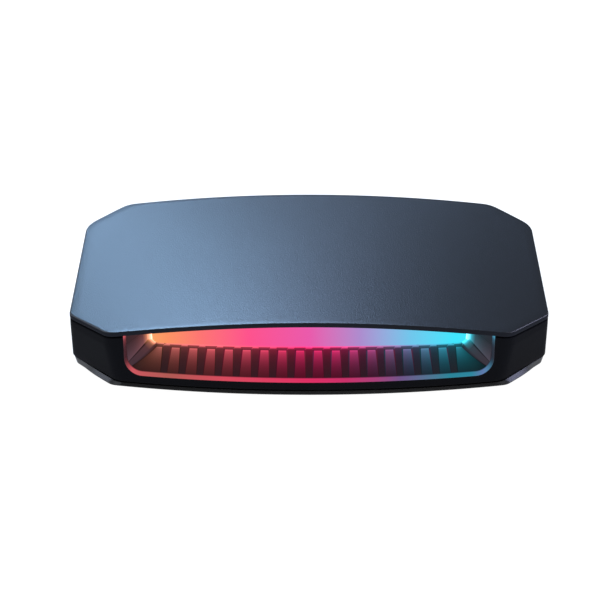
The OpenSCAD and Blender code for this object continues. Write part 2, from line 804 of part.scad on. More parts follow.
module board_screws() color("#8d9196") {
    at_standoffs() translate([0, 0, board_top]) rotate([180, 0, 0])
        pan_screw(pilot_r, board_t + standoff_h - past, board_head_r, board_head_h);
}

// Moulded chip that stands on the main board, with a dimple at its first corner
module chip(x, y, size) {
    dimple = 0.35;
    translate([x, y, board_top]) difference() {
        translate([-size.x / 2, -size.y / 2, 0]) cube(size);
        translate([-size.x / 2 + 3 * dimple, size.y / 2 - 3 * dimple, size.z - dimple / 2])
            cylinder(r = dimple, h = past);
    }
}

processor_w = 22;
processor_h = 1.4;
pad_t = 0.5;
pad_margin = 3;
sink_base_t = 2;
sink_base_z = board_top + processor_h + pad_t;

module video_processor() color("#26282b") {
    chip(0, sink_y, [processor_w, processor_w, processor_h]);
}

module thermal_pad() color("#9fb0c4") {
    side = processor_w - pad_margin;
    translate([-side / 2, sink_y - side / 2, board_top + processor_h]) cube([side, side, pad_t]);
}

module heat_sink() color("#aeb2b7") {
    pitch = (sink_w - fin_t) / (fin_n - 1);
    clear_r = sink_pin_head_r + room;
    difference() {
        translate([-sink_w / 2, sink_y - sink_d / 2, sink_base_z]) {
            cube([sink_w, sink_d, sink_base_t]);
            for (i = [0:fin_n - 1])
                translate([i * pitch, 0, 0]) cube([fin_t, sink_d, sink_base_t + fin_h]);
        }
        for (side = [-1, 1]) translate([side * sink_pin_x, sink_y + side * sink_pin_y, sink_base_z]) {
            cylinder(r = sink_pin_r + fit, h = tall);
            translate([0, 0, sink_base_t]) cylinder(r = clear_r, h = tall);
        }
    }
}

module heat_sink_pins() color("#ddd8cc") {
    grip = sink_base_z + sink_base_t;
    for (side = [-1, 1]) translate([side * sink_pin_x, sink_y + side * sink_pin_y, 0]) {
        translate([0, 0, board_z - sink_pin_tail])
            cylinder(r = sink_pin_r, h = grip - board_z + sink_pin_tail);
        translate([0, 0, grip]) cylinder(r = sink_pin_head_r, h = sink_pin_head_h);
    }
}

// Smaller chips, beside the heat sink and behind the ports that they serve
chip_gap = 8;
chip_row_x = sink_w / 2 + chip_gap;
memory_size = [9, 13, 1.1];
memory_back = 9.6;
repeater_size = [6, 6, 0.9];
repeater_on = 0.4;
usb_size = [8, 8, 0.9];
usb_gap = 1.2;
usb_x = data_x + usb_size.x / 4;
usb_y = port_y - data_l - usb_gap - usb_size.y / 2;
audio_size = [7, 7, 0.9];
audio_gap = 1.3;
crystal_size = [3.2, 2.5, 0.8];
crystal_gap = 2.4;

module usb_controller() color("#26282b") {
    chip(usb_x, usb_y, usb_size);
}

module video_repeaters() color("#26282b") {
    for (side = [-1, 1]) chip(side * (chip_row_x - room), sink_y + repeater_on, repeater_size);
}

module memory_chips() color("#2b2d30") {
    for (side = [-1, 1]) chip(side * chip_row_x, sink_y - memory_back, memory_size);
}

module audio_chip() color("#26282b") {
    chip((headset_x + pad_jack_x) / 2, jack_back_y - audio_gap - audio_size.y / 2, audio_size);
}

// Rows of coils and capacitors, between the board's pillars
coil_w = 4;
coil_h = 2.4;
core_r = 1.7;
core_h = 3;
can_w = 4.2;
can_base_h = 0.8;
can_r = 2;
can_h = 6;
row_pitch = 4.8;
row_first = standoff_ys[0] + standoff_r + room + can_w / 2;
row_last = standoff_ys[1] - standoff_r - room - can_w / 2;
row_ys = [for (y = [row_first:row_pitch:row_last]) y];

module power_coils() color("#4a4a4d") {
    for (y = row_ys) translate([standoff_x, y, board_top]) {
        translate([-coil_w / 2, -coil_w / 2, 0]) cube([coil_w, coil_w, coil_h]);
        cylinder(r = core_r, h = core_h);
    }
}

module capacitors() color("#b9bdc3") {
    for (y = row_ys) translate([-standoff_x, y, board_top]) {
        translate([-can_w / 2, -can_w / 2, 0]) cube([can_w, can_w, can_base_h]);
        cylinder(r = can_r, h = can_h);
    }
}

module crystal() color("#c9cdd2") {
    translate([usb_x + usb_size.x / 2 + crystal_gap, usb_y - crystal_size.y, board_top]) cube(crystal_size);
}

video_w = 15;
video_h = 5.8;
video_wall = 0.4;
video_cut = 1.9;
video_z = board_top + video_h / 2;

module video_outline(inset) {
    w = video_w / 2 - inset;
    h = video_h / 2 - inset;
    c = video_cut - inset * (2 - sqrt(2));
    polygon([[-w, h], [-w, c - h], [c - w, -h], [w - c, -h], [w, c - h], [w, h]]);
}

// Turns an outline drawn across X and Z into a bar that runs in from the port's mouth
module from_mouth(x, z, start, length) {
    translate([x, port_y - start, z]) rotate([90, 0, 0]) linear_extrude(length) children();
}

module video_shell(x) {
    difference() {
        from_mouth(x, video_z, 0, video_l) video_outline(0);
        from_mouth(x, video_z, -past, video_l + past - video_wall) video_outline(video_wall);
    }
}

tongue_w = 11.2;
tongue_t = 1.2;
tongue_start = 1.2;
video_block = 3.6;
contact_t = 0.15;
video_contact_w = 0.45;
data_contact_w = 0.25;

module video_tongue(x) {
    back = video_l - video_wall - seat;
    from_mouth(x, video_z, back - video_block, video_block) video_outline(video_wall + seat);
    from_mouth(x, video_z, tongue_start, back - tongue_start) square([tongue_w, tongue_t], center = true);
}

module video_contacts(x) {
    length = video_l - video_wall - seat - video_block - tongue_start - room;
    upper_n = 10;
    pitch = 1;
    for (row = [0, 1], i = [0:upper_n - 1 - row])
        from_mouth(x + (i - (upper_n - 1 - row) / 2) * pitch,
            video_z + (row == 0 ? 1 : -1) * (tongue_t + contact_t) / 2, tongue_start + room, length)
            square([video_contact_w, contact_t], center = true);
}

module video_in_shell() color("#b4b8bc") video_shell(video_in_x);
module video_in_tongue() color("#1b1c1e") video_tongue(video_in_x);
module video_in_contacts() color("#d0a54a") video_contacts(video_in_x);
module video_out_shell() color("#b4b8bc") video_shell(video_out_x);
module video_out_tongue() color("#1b1c1e") video_tongue(video_out_x);
module video_out_contacts() color("#d0a54a") video_contacts(video_out_x);

data_w = 8.94;
data_h = 3.16;
data_wall = 0.3;
data_z = board_top + data_h / 2;
data_tongue_w = 6.7;
data_tongue_t = 0.7;
data_block = 2.4;

module data_outline(inset) {
    rotate(90) slot(data_h - 2 * inset, data_w - 2 * inset);
}

module data_port_shell() color("#b4b8bc") {
    difference() {
        from_mouth(data_x, data_z, 0, data_l) data_outline(0);
        from_mouth(data_x, data_z, -past, data_l + past - data_wall) data_outline(data_wall);
    }
}

module data_port_tongue() color("#1b1c1e") {
    back = data_l - data_wall - seat;
    from_mouth(data_x, data_z, back - data_block, data_block) data_outline(data_wall + seat);
    from_mouth(data_x, data_z, room, back - room) square([data_tongue_w, data_tongue_t], center = true);
}

module data_port_contacts() color("#d0a54a") {
    length = data_l - data_wall - seat - data_block - 2 * room;
    row_n = 12;
    pitch = 0.5;
    up = (data_tongue_t + contact_t) / 2;
    for (side = [-1, 1], i = [0:row_n - 1])
        from_mouth(data_x + (i - (row_n - 1) / 2) * pitch, data_z + side * up, 2 * room, length)
            square([data_contact_w, contact_t], center = true);
}

jack_w = 7;
jack_h = 6;
jack_nose_r = 2.9;
jack_nose_l = wall_t + room - port_recess;
jack_block_l = port_y - jack_nose_l - jack_back_y;
jack_z = board_top + jack_h / 2;

module audio_jack(x) {
    difference() {
        union() {
            from_mouth(x, jack_z, 0, jack_nose_l + past) circle(r = jack_nose_r);
            from_mouth(x, jack_z, jack_nose_l, jack_block_l) square([jack_w, jack_h], center = true);
        }
        from_mouth(x, jack_z, -past, jack_bore_l + past) circle(r = jack_bore_r);
    }
}

module headset_jack() color("#1f2022") audio_jack(headset_x);
module controller_jack() color("#1f2022") audio_jack(pad_jack_x);

top_cover();
body_shell();
bottom_cover();
rubber_feet();
case_screws();
light_trim();
light_well();
light_diffuser();
led_board();
leds();
led_board_screws();
well_screws();
led_socket();
ribbon_cable();
board_socket();
main_board();
board_screws();
video_processor();
thermal_pad();
heat_sink();
heat_sink_pins();
usb_controller();
video_repeaters();
memory_chips();
audio_chip();
power_coils();
capacitors();
crystal();
video_in_shell();
video_in_tongue();
video_in_contacts();
video_out_shell();
video_out_tongue();
video_out_contacts();
data_port_shell();
data_port_tongue();
data_port_contacts();
headset_jack();
controller_jack();
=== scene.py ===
import math

import bmesh
import bpy
import numpy as np
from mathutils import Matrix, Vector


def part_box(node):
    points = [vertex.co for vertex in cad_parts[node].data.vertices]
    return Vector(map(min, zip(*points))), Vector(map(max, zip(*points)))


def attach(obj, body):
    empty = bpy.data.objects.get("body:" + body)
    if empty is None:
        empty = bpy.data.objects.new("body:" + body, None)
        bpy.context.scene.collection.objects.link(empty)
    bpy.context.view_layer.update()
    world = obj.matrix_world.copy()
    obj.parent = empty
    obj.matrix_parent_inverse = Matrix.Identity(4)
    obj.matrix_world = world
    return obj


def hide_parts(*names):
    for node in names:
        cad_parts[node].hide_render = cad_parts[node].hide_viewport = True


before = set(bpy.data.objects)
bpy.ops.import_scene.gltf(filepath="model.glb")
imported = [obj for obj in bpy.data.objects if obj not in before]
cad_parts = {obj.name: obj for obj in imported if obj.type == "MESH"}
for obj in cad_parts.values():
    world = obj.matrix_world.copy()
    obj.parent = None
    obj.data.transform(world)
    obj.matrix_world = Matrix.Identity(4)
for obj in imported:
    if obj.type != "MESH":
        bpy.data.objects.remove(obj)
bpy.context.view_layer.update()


# Bottom cover: the tray that closes the case from below, moulded in black plastic with a fine grain.
# Four screws pull it up against the body, and slots under the heat sink let air in.
MM = 0.001
merge_d, sliver_d = 1e-6, 1e-7
flat_angle = 0.3
tray_edge_r = 0.08

# The side corners are drawn in by ease_d, which dies away over ease_w round the point at ease_x and ease_y
ease_x, ease_y = 58.5, -17.8
ease_d, ease_w = 0.68, 5


class Signal:
    """A socket in a material's nodes. A sum of signals and numbers adds the Math nodes that it stands for."""

    def __init__(self, tree, socket=None):
        self.tree = tree
        self.socket = socket

    def node(self, kind, settings={}, inputs={}, output=0):
        """Adds a node: its settings first, then the values or links of its sockets. Gives one output."""
        made = self.tree.nodes.new(kind)
        for name, value in settings.items():
            if name == "stops":
                stops = made.color_ramp.elements
                stops.remove(stops[1])
                for k, (place, colour) in enumerate(value):
                    stop = stops[0] if k == 0 else stops.new(place)
                    stop.position = place
                    stop.color = colour
            else:
                setattr(made, name, value)
        for name, value in inputs.items():
            if isinstance(value, Signal):
                self.tree.links.new(value.socket, made.inputs[name])
            else:
                made.inputs[name].default_value = value
        return Signal(self.tree, made.outputs[output] if len(made.outputs) else None)

    def math(self, operation, first, second):
        return self.node("ShaderNodeMath", {"operation": operation}, {0: first, 1: second})

    def __add__(self, other):
        return self.math("ADD", self, other)

    def __radd__(self, other):
        return self.math("ADD", other, self)

    def __mul__(self, other):
        return self.math("MULTIPLY", self, other)

    def __gt__(self, other):
        return self.math("GREATER_THAN", self, other)

    def __lt__(self, other):
        return self.math("LESS_THAN", self, other)

    def blend(self, none, full):
        """Colour that goes from none to full as this signal goes from 0 to 1."""
        return self.node("ShaderNodeMix", {"data_type": "RGBA"}, {0: self, 6: none, 7: full}, 2)

    def place(self):
        return self.node("ShaderNodeTexCoord", output="Object")

    def speckle(self, per_metre, detail=2.0, stretch=(1.0, 1.0, 1.0)):
        """Noise over the piece, with this many patches to the metre, drawn out where stretch is small."""
        drawn = self.node("ShaderNodeVectorMath", {"operation": "MULTIPLY"}, {0: self.place(), 1: stretch})
        return self.node("ShaderNodeTexNoise", {}, {"Vector": drawn, "Scale": per_metre, "Detail": detail})

    def relief(self, height, depth, strength=1.0):
        """Surface direction of a relief whose height runs from 0 to 1 over a depth in metres."""
        return self.node("ShaderNodeBump", {}, {"Height": height, "Distance": depth, "Strength": strength},
                         "Normal")

    def surface(self, **sockets):
        """The main shader. A socket's name is written with _ for a space."""
        inputs = {name.replace("_", " "): value for name, value in sockets.items()}
        return self.node("ShaderNodeBsdfPrincipled", {}, inputs)


def finish(build, name=None):
    """Material named for the function that lays out its nodes, or by the name given."""
    made = bpy.data.materials.new(name or build.__name__)
    made.use_nodes = True
    made.node_tree.nodes.clear()
    start = Signal(made.node_tree)
    start.node("ShaderNodeOutputMaterial", {}, {"Surface": build(start)})
    return made


def tint(code):
    """Linear colour of a six-figure hex code."""
    parts = np.array([int(code[i:i + 2], 16) for i in (0, 2, 4)]) / 255
    linear = np.where(parts <= 0.04045, parts / 12.92, ((parts + 0.055) / 1.055) ** 2.4)
    return (*linear.tolist(), 1.0)


def grained(name, low, high, rough, relief, grain, cloud=None, cloud_rough=0.0, **sockets):
    """Material with a fine grain. Its colour drifts from low to high with its clouds, or with the grain if it
    has none. rough is the least roughness and what the grain adds, and relief is its depth and strength."""

    def build(s):
        fine = s.speckle(*grain)
        broad = s.speckle(*cloud) if cloud else fine
        return s.surface(
            Base_Color=broad.blend(tint(low), tint(high)),
            Roughness=rough[0] + fine * rough[1] + broad * cloud_rough,
            Normal=s.relief(fine, *relief),
            **sockets)

    return finish(build, name)


def skin(name, points, blocks, crease=32, **marks):
    """A closed piece from points in millimetres and blocks of faces, each an array with a row for every face.
    Doubles are merged, faces turned outwards, and edges sharper than crease degrees kept sharp. Marks are
    values at the points, for the piece's material to read."""
    mesh = bpy.data.meshes.new(name)
    faces = [face for block in blocks for face in block.tolist()]
    mesh.from_pydata((np.asarray(points) * MM).tolist(), [], faces)
    for mark, values in marks.items():
        mesh.attributes.new(mark, "FLOAT", "POINT").data.foreach_set("value", np.ravel(values))
    work = bmesh.new()
    work.from_mesh(mesh)
    bmesh.ops.remove_doubles(work, verts=work.verts, dist=merge_d)
    bmesh.ops.dissolve_degenerate(work, edges=work.edges, dist=sliver_d)
    bmesh.ops.recalc_face_normals(work, faces=work.faces)
    work.to_mesh(mesh)
    work.free()
    mesh.shade_smooth()
    mesh.set_sharp_from_angle(angle=math.radians(crease))
    piece = bpy.data.objects.new(name, mesh)
    bpy.context.scene.collection.objects.link(piece)
    return piece


def round_edges(piece, radius, segments=2, least_angle=30):
    """Rounds the edges that turn by more than least_angle."""
    bevel = piece.modifiers.new("rounded_edges", "BEVEL")
    bevel.width = radius * MM
    bevel.segments = segments
    bevel.limit_method = "ANGLE"
    bevel.angle_limit = math.radians(least_angle)
    bevel.use_clamp_overlap = True
    bevel.harden_normals = True


def eased(points, share=1.0):
    """Points drawn in towards the upright middle line where they lie close to one of the two side corners."""
    x, y = points[:, :1], points[:, 1:2]
    off = np.hypot(np.abs(x) - ease_x, y - ease_y)
    pull = share * ease_d * np.exp(-(off / ease_w) ** 2) / np.maximum(np.hypot(x, y), 1)
    return np.column_stack([points[:, :2] * (1 - pull), points[:, 2]])


def rounded_solid(name, node, radius, ease=0.0):
    """A solid's own triangles, with its flats joined, its edges rounded and its side corners eased."""
    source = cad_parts[node].data
    points = np.empty(len(source.vertices) * 3)
    source.vertices.foreach_get("co", points)
    corners = np.empty(len(source.loops), int)
    source.loops.foreach_get("vertex_index", corners)
    piece = skin(name, eased(points.reshape(-1, 3) / MM, ease), [corners.reshape(-1, 3)])
    flats = piece.modifiers.new("joined_flats", "DECIMATE")
    flats.decimate_type = "DISSOLVE"
    flats.angle_limit = math.radians(flat_angle)
    round_edges(piece, radius)
    return piece


def stand_in(piece, node, material):
    """Gives a piece its finish and puts it in the place of a solid."""
    piece.data.materials.append(material)
    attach(piece, "root")
    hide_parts(node)


bottom_tray = rounded_solid("bottom_tray", "bottom_cover", tray_edge_r, ease=1.0)
base_black = grained("base_plastic", "1c1d20", "232529", rough=(0.28, 0.06), relief=(0.00002, 0.25),
                     grain=(5200.0, 2.0), cloud=(42.0, 4.0), cloud_rough=0.04, Specular_IOR_Level=0.5)
stand_in(bottom_tray, "bottom_cover", base_black)


# Feet: four soft rubber pucks stuck in round seats over the case screws. Each has a rounded rim and a
# shallow ring in its sole, which grips the table.
foot_low, foot_high = (np.array(corner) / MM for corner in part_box("rubber_feet"))
foot_r = 4.5
foot_h = foot_high[2] - foot_low[2]
foot_rim_r, foot_rim_n = 0.5, 6
foot_ring_r, foot_ring_w, foot_ring_d, foot_ring_n = 2.7, 0.5, 0.18, 9
foot_x = foot_high[0] - foot_r
foot_ys = (foot_low[1] + foot_r, foot_high[1] - foot_r)


def lattice(grid, close_rows=False, close_columns=False):
    """Points of a grid, row by row, and one block of the quads between neighbours."""
    rows, columns = grid.shape[:2]
    r, c = np.indices((rows - 1 + close_rows, columns - 1 + close_columns))
    here, on = r * columns, (r + 1) % rows * columns
    c_on = (c + 1) % columns
    quads = np.stack([here + c, here + c_on, on + c_on, on + c], axis=-1)
    return grid.reshape(-1, 3), [quads.reshape(-1, 4)]


def prism(ends):
    """Points and faces of a solid between two outlines."""
    points, faces = lattice(np.array(ends), False, True)
    return points, faces + [np.arange(len(points)).reshape(2, -1)]


def turned(profile, centre, steps=48):
    """A profile of radii and heights turned once round an upright line: x = r cos a, y = r sin a."""
    profile = np.asarray(profile, float)
    a = np.linspace(0, 2 * math.pi, steps, endpoint=False)
    r, z = profile[:, :1], profile[:, 1:]
    points = np.stack([centre[0] + r * np.cos(a), centre[1] + r * np.sin(a), centre[2] + z + 0 * a], axis=-1)
    return lattice(points, False, True)


def joined(parts):
    """One array of points and one list of blocks of faces from several."""
    starts = np.cumsum([0] + [len(points) for points, _ in parts[:-1]])
    blocks = [block + start for start, (_, part) in zip(starts, parts) for block in part]
    return np.concatenate([points for points, _ in parts]), blocks


rim = np.linspace(0, math.pi / 2, foot_rim_n)
ring = np.linspace(0, math.pi, foot_ring_n)
foot_profile = np.concatenate([
    [[0, 0]],
    np.column_stack([foot_ring_r - foot_ring_w * np.cos(ring), foot_ring_d * np.sin(ring)]),
    np.column_stack([foot_r - foot_rim_r + foot_rim_r * np.sin(rim), foot_rim_r - foot_rim_r * np.cos(rim)]),
    [[foot_r, foot_h], [0, foot_h]]])
feet = skin("feet", *joined([turned(foot_profile, (side * foot_x, y, 0))
                             for side in (-1, 1) for y in foot_ys]))
rubber = grained("rubber", "1d1e20", "2b2c2e", rough=(0.72, 0.15), relief=(0.00005, 0.4),
                 grain=(3800.0, 3.0), cloud=(900.0, 5.0), Specular_IOR_Level=0.3)
stand_in(feet, "rubber_feet", rubber)


# Screws: zinc-plated steel pan heads. Four hold the case together from below, and smaller ones hold the
# boards and the light well. They keep the solids' own shapes.
def coat(material, *nodes):
    """Puts a finish on solids that keep their own shape."""
    for node in nodes:
        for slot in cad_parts[node].material_slots:
            slot.material = material


screw_steel = grained("screw_steel", "9aa0a6", "b9bdc1", rough=(0.24, 0.2), relief=(0.00002, 0.3),
                      grain=(1800.0, 3.0, (1.0, 1.0, 0.05)), cloud=(500.0, 4.0), Metallic=1.0)
coat(screw_steel, "case_screws", "led_board_screws", "well_screws", "board_screws")


# Main board: glass-fibre board with a green solder mask over its copper tracks, held on four pillars of
# the bottom cover. The light board behind the diffuser is the same stuff.
track_pitch = 380.0
track_w = 0.05
via_r = 0.12


def solder_mask(s):
    cells = s.node("ShaderNodeTexVoronoi", {"feature": "DISTANCE_TO_EDGE"},
                   {"Vector": s.place(), "Scale": track_pitch})
    dots = s.node("ShaderNodeTexVoronoi", {"distance": "EUCLIDEAN"},
                  {"Vector": s.place(), "Scale": 2 * track_pitch})
    track = cells < track_w
    via = dots < via_r
    mask = track.blend(tint("12402c"), tint("1d5a3e"))
    glass = s.speckle(2600.0)
    return s.surface(
        Base_Color=via.blend(mask, tint("b8924a")),
        Metallic=via * 0.9,
        Roughness=0.30 + glass * 0.15,
        Coat_Weight=0.4,
        Normal=s.relief(track + via, 0.00003, 0.5))


coat(finish(solder_mask), "main_board", "led_board")


# Chips: the packages that take in, store and send the picture and sound, moulded in black epoxy with a fine
# grain and soldered to the main board.
chip_epoxy = grained("chip_epoxy", "18191b", "242629", rough=(0.52, 0.16), relief=(0.00002, 0.4),
                     grain=(6000.0, 2.0), cloud=(300.0, 3.0))
coat(chip_epoxy, "video_processor", "usb_controller", "video_repeaters", "memory_chips", "audio_chip")


# Cooling: an extruded aluminium heat sink on a soft blue pad over the video processor, held to the
# board by two nylon push pins.
drawn_aluminium = grained("drawn_aluminium", "a2a7ad", "bfc3c7", rough=(0.30, 0.22), relief=(0.00002, 0.4),
                          grain=(2400.0, 3.0, (1.0, 0.03, 1.0)), cloud=(180.0, 3.0), Metallic=1.0)
soft_pad = grained("soft_pad", "8296b4", "a6b6cc", rough=(0.75, 0.1), relief=(0.00005, 0.5),
                   grain=(1500.0, 4.0))
nylon = grained("nylon", "d6d0c2", "e4dfd4", rough=(0.42, 0.12), relief=(0.00002, 0.3), grain=(700.0, 3.0))
coat(drawn_aluminium, "heat_sink")
coat(soft_pad, "thermal_pad")
coat(nylon, "heat_sink_pins")


# Power parts: ferrite coils, and capacitors and a crystal in drawn aluminium cans, in rows beside the
# heat sink.
ferrite = grained("ferrite", "3a3a3d", "54555a", rough=(0.58, 0.2), relief=(0.00004, 0.5),
                  grain=(3200.0, 4.0), Metallic=0.25)
can_aluminium = grained("can_aluminium", "b2b7bd", "cfd3d8", rough=(0.20, 0.16), relief=(0.00001, 0.3),
                        grain=(1500.0, 3.0, (1.0, 1.0, 0.06)), Metallic=1.0)
coat(ferrite, "power_coils")
coat(can_aluminium, "capacitors", "crystal")


# Rear ports: two wide video sockets and a small data socket in nickel-plated steel shells, each with a
# black tongue and gold-plated contacts, and two round jacks in black plastic. All are soldered to the board.
shell_edge_r = 0.09
jack_edge_r = 0.22
port_steel = grained("port_steel", "a9acaf", "c4c7ca", rough=(0.22, 0.16), relief=(0.00001, 0.3),
                     grain=(2000.0, 3.0, (1.0, 0.04, 1.0)), cloud=(220.0, 4.0), Metallic=1.0)
jack_resin = grained("jack_resin", "121315", "1b1c1e", rough=(0.32, 0.12), relief=(0.00002, 0.25),
                     grain=(4600.0, 2.0))
tongue_resin = grained("tongue_resin", "141517", "1f2022", rough=(0.42, 0.15), relief=(0.00002, 0.3),
                       grain=(4200.0, 2.0))
contact_gold = grained("contact_gold", "d9ae55", "c99a44", rough=(0.18, 0.2), relief=(0.00001, 0.2),
                       grain=(1800.0, 4.0, (1.0, 0.1, 1.0)), Metallic=1.0)
for port in ("video_in_shell", "video_out_shell", "data_port_shell"):
    stand_in(rounded_solid("drawn_" + port, port, shell_edge_r), port, port_steel)
for jack in ("headset_jack", "controller_jack"):
    stand_in(rounded_solid("moulded_" + jack, jack, jack_edge_r), jack, jack_resin)
coat(tongue_resin, "video_in_tongue", "video_out_tongue", "data_port_tongue")
coat(contact_gold, "video_in_contacts", "video_out_contacts", "data_port_contacts")


# Body: the black ring of walls, moulded in one with its bowed front, cut corners, rear port openings and
# screw posts. A tongue on its top edge stands in the cover and leaves a thin dark groove outside.
cover_low, cover_high = (np.array(corner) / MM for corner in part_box("top_cover"))
case_w = cover_high[0] - cover_low[0]
case_d = cover_high[1] - cover_low[1]
front_y, rear_y = cover_low[1], cover_high[1]
front_r = 219
front_cut_x, front_cut_y = 10.9, 18.5
rear_cut_x, rear_cut_y = 10.4, 8.7
# Radii of the four corners on each side, from the front to the rear
corner_r = (6, 4, 6, 6)
least_r = 0.5
ridge_front_h, ridge_rear_h = 20.5, cover_high[2]
eave_front_h, eave_rear_h = 11.5, 23.4
wall_t = 2
cover_edge_t = 1.2
overhang = 0.05
cut_lean = 1.05
groove_h, groove_d = 0.4, 0.8
seat = 0.05
floor_z = 2.6
body_edge_r = 0.18
mouth_hw = 45.25
sill_h = 4.5
mouth_r = 4.4
mouth_top = sill_h + mouth_r
inner = overhang + wall_t
face_y = front_y + overhang
rear_face_y = rear_y - overhang
mouth_n, mouth_corner_n = 31, 12
bow_n, straight_n = 4, (10, 26, 7)
arc_n, edge_n = 9, 4
low_n, high_n = 6, 14
cell_x = np.array([46, 33.25, 19.8, -3.5, -26.5, -46])
cell_low, cell_high = 3, 15
cell_n = 20
port_slack = 0.3
port_edge_r = 0.3
video_cut = 1.9
tiny = 1e-9
post_r, post_bore_r = 2.8, 1.3
post_low, post_high, post_roof = 4.8, 11.3, 1
post_n = 32
web_t, web_in_post, web_in_wall = 2, 0.4, 0.5


def mix(a, b, t):
    return a + (b - a) * t


def roof(x, y):
    """Height of the cover: straight from front to rear and arched across, with a flatter arch at the rear."""
    t = (y - front_y) / case_d
    eave = mix(eave_front_h, eave_rear_h, t)
    ridge = mix(ridge_front_h, ridge_rear_h, t)
    return eave + (ridge - eave) * (1 - (2 * x / case_w) ** 2)


def bow(x, front, radius):
    """Depth at x of an arc whose middle lies at front."""
    return front + radius - np.sqrt(radius ** 2 - x ** 2)


def corner_arc(p, back, on, radius):
    """Arc that rounds the corner at p between the directions back and on."""
    half = math.acos(back @ on) / 2
    middle = (back + on) / np.linalg.norm(back + on)
    centre = p + middle * radius / math.sin(half)
    first = p + back * radius / math.tan(half) - centre
    a = np.linspace(0, math.pi - 2 * half, arc_n)
    return centre + np.column_stack([first[0] * np.cos(a) - first[1] * np.sin(a),
                                     first[0] * np.sin(a) + first[1] * np.cos(a)])


def between(a, b, steps):
    """Points on the straight line from a to b, without its ends."""
    return np.linspace(a, b, steps + 2)[1:-1]


def trough_x(hw, r, n, corner_n):
    """Columns of the right half of a level line whose ends turn up: even, and closer in the corner."""
    turn = np.linspace(0, math.pi / 2, corner_n)[1:]
    return np.concatenate([np.linspace(0, hw - r, n), hw - r + r * np.sin(turn)])


def trough(x, hw, low, r):
    """Height of that line at x: level, with round corners that end upright."""
    over = np.clip(np.abs(x) - (hw - r), 0, r)
    return low + r - np.sqrt(r ** 2 - over ** 2)


# Columns of the front, and of the rear, where each port has a cell of its own
mouth_x = trough_x(mouth_hw, mouth_r, mouth_n, mouth_corner_n)
rear_x = np.concatenate([np.linspace(a, b, cell_n, endpoint=False) for a, b in zip(cell_x[:-1], cell_x[1:])]
                        + [cell_x[-1:]])


def plan(inset, lean=0):
    """Outline of the case moved inwards by inset, anticlockwise from the middle of the front: a bowed front,
    straight sides and rear, and four cut corners, each meeting the next in a small arc. The front cuts are
    moved inwards by lean more."""
    side = case_w / 2
    bow_c, bow_r = front_y + front_r, front_r - inset
    cut_a = np.array([side, front_y + front_cut_y])
    cut_b = np.array([side - front_cut_x, bow(side - front_cut_x, front_y, front_r)])
    along = (cut_a - cut_b) / np.linalg.norm(cut_a - cut_b)
    out = np.array([along[1], -along[0]])
    reach = out @ cut_a - inset - lean
    depth = out[1] * bow_c - reach
    front_corner = np.array([0, bow_c]) - depth * out - along * math.sqrt(bow_r ** 2 - depth ** 2)
    tangent = np.array([bow_c - front_corner[1], front_corner[0]]) / bow_r
    rear_along = np.array([-rear_cut_x, rear_cut_y]) / math.hypot(rear_cut_x, rear_cut_y)
    rear_out = np.array([rear_along[1], -rear_along[0]])
    rear_reach = rear_out @ np.array([side, rear_y - rear_cut_y]) - inset
    walls = [(out, reach), ((1, 0), side - inset), (rear_out, rear_reach), ((0, 1), rear_y - inset)]
    corners = [np.linalg.solve([a, b], [p, q]) for (a, p), (b, q) in zip(walls, walls[1:])]
    ways = np.array([tangent, along, (0, 1), rear_along, (-1, 0)])
    radii = np.maximum(np.array(corner_r) - inset, least_r)
    arcs = [corner_arc(*corner) for corner in zip([front_corner, *corners], -ways, ways[1:], radii)]
    bow_x = np.concatenate([mouth_x, between(mouth_hw, arcs[0][0, 0], bow_n)])
    right = [np.column_stack([bow_x, bow(bow_x, front_y + inset, bow_r)]), arcs[0]]
    for before, after, steps in zip(arcs, arcs[1:], straight_n):
        right += [between(before[-1], after[0], steps), after]
    right = np.concatenate(right)
    back = np.column_stack([rear_x, np.full(len(rear_x), rear_y - inset)])
    return np.concatenate([right, back, right[:0:-1] * (-1, 1)])


def raised(inset, height, lean=0):
    """The outline at this inset, lifted to a height that depends on x and y. The front cuts lean inwards: not
    at all at the eaves, and by lean at the floor."""
    outline = plan(inset)
    z = height(*outline.T) + 0 * outline[:, 0]
    share = np.clip((eave_front_h - z) / (eave_front_h - floor_z), 0, 1)
    return np.column_stack([mix(outline, plan(inset, lean), share[:, None]), z])


def level(k, top):
    """Height of a wall's k-th row: even steps to the top of the opening's corners, then even steps to top."""
    low = floor_z + body_edge_r
    return mix(low, mouth_top, k / low_n) if k <= low_n else mix(mouth_top, top, (k - low_n) / high_n)


def wall_top(x, y):
    return roof(x, y) - cover_edge_t - groove_h


def tongue_top(x, y):
    return roof(x, y) - cover_edge_t - seat


quarter = np.linspace(0, math.pi / 2, edge_n)
levels = range(low_n + high_n + 1)
foot_rows = [raised(overhang + body_edge_r * (1 - math.sin(a)),
                    lambda x, y: floor_z + body_edge_r * (1 - math.cos(a)), cut_lean) for a in quarter[:-1]]
outer_rows = [raised(overhang, lambda x, y: level(k, wall_top(x, y) - body_edge_r), cut_lean) for k in levels]
brow_rows = [raised(overhang + body_edge_r * (1 - math.cos(a)),
                    lambda x, y: wall_top(x, y) - body_edge_r * (1 - math.sin(a)), cut_lean)
             for a in quarter[1:]]
step_rows = [raised(overhang + groove_d, wall_top), raised(overhang + groove_d, tongue_top),
             raised(inner, tongue_top)]
inner_rows = [raised(inner, lambda x, y: level(k, tongue_top(x, y) - body_edge_r)) for k in reversed(levels)]
last_row = [raised(inner, lambda x, y: floor_z)]
rows = np.stack(foot_rows + outer_rows + brow_rows + step_rows + inner_rows + last_row)
outer_0 = len(foot_rows)
inner_0 = outer_0 + len(levels) + len(brow_rows) + len(step_rows) + len(levels) - 1
mouth_k = len(mouth_x) - 1

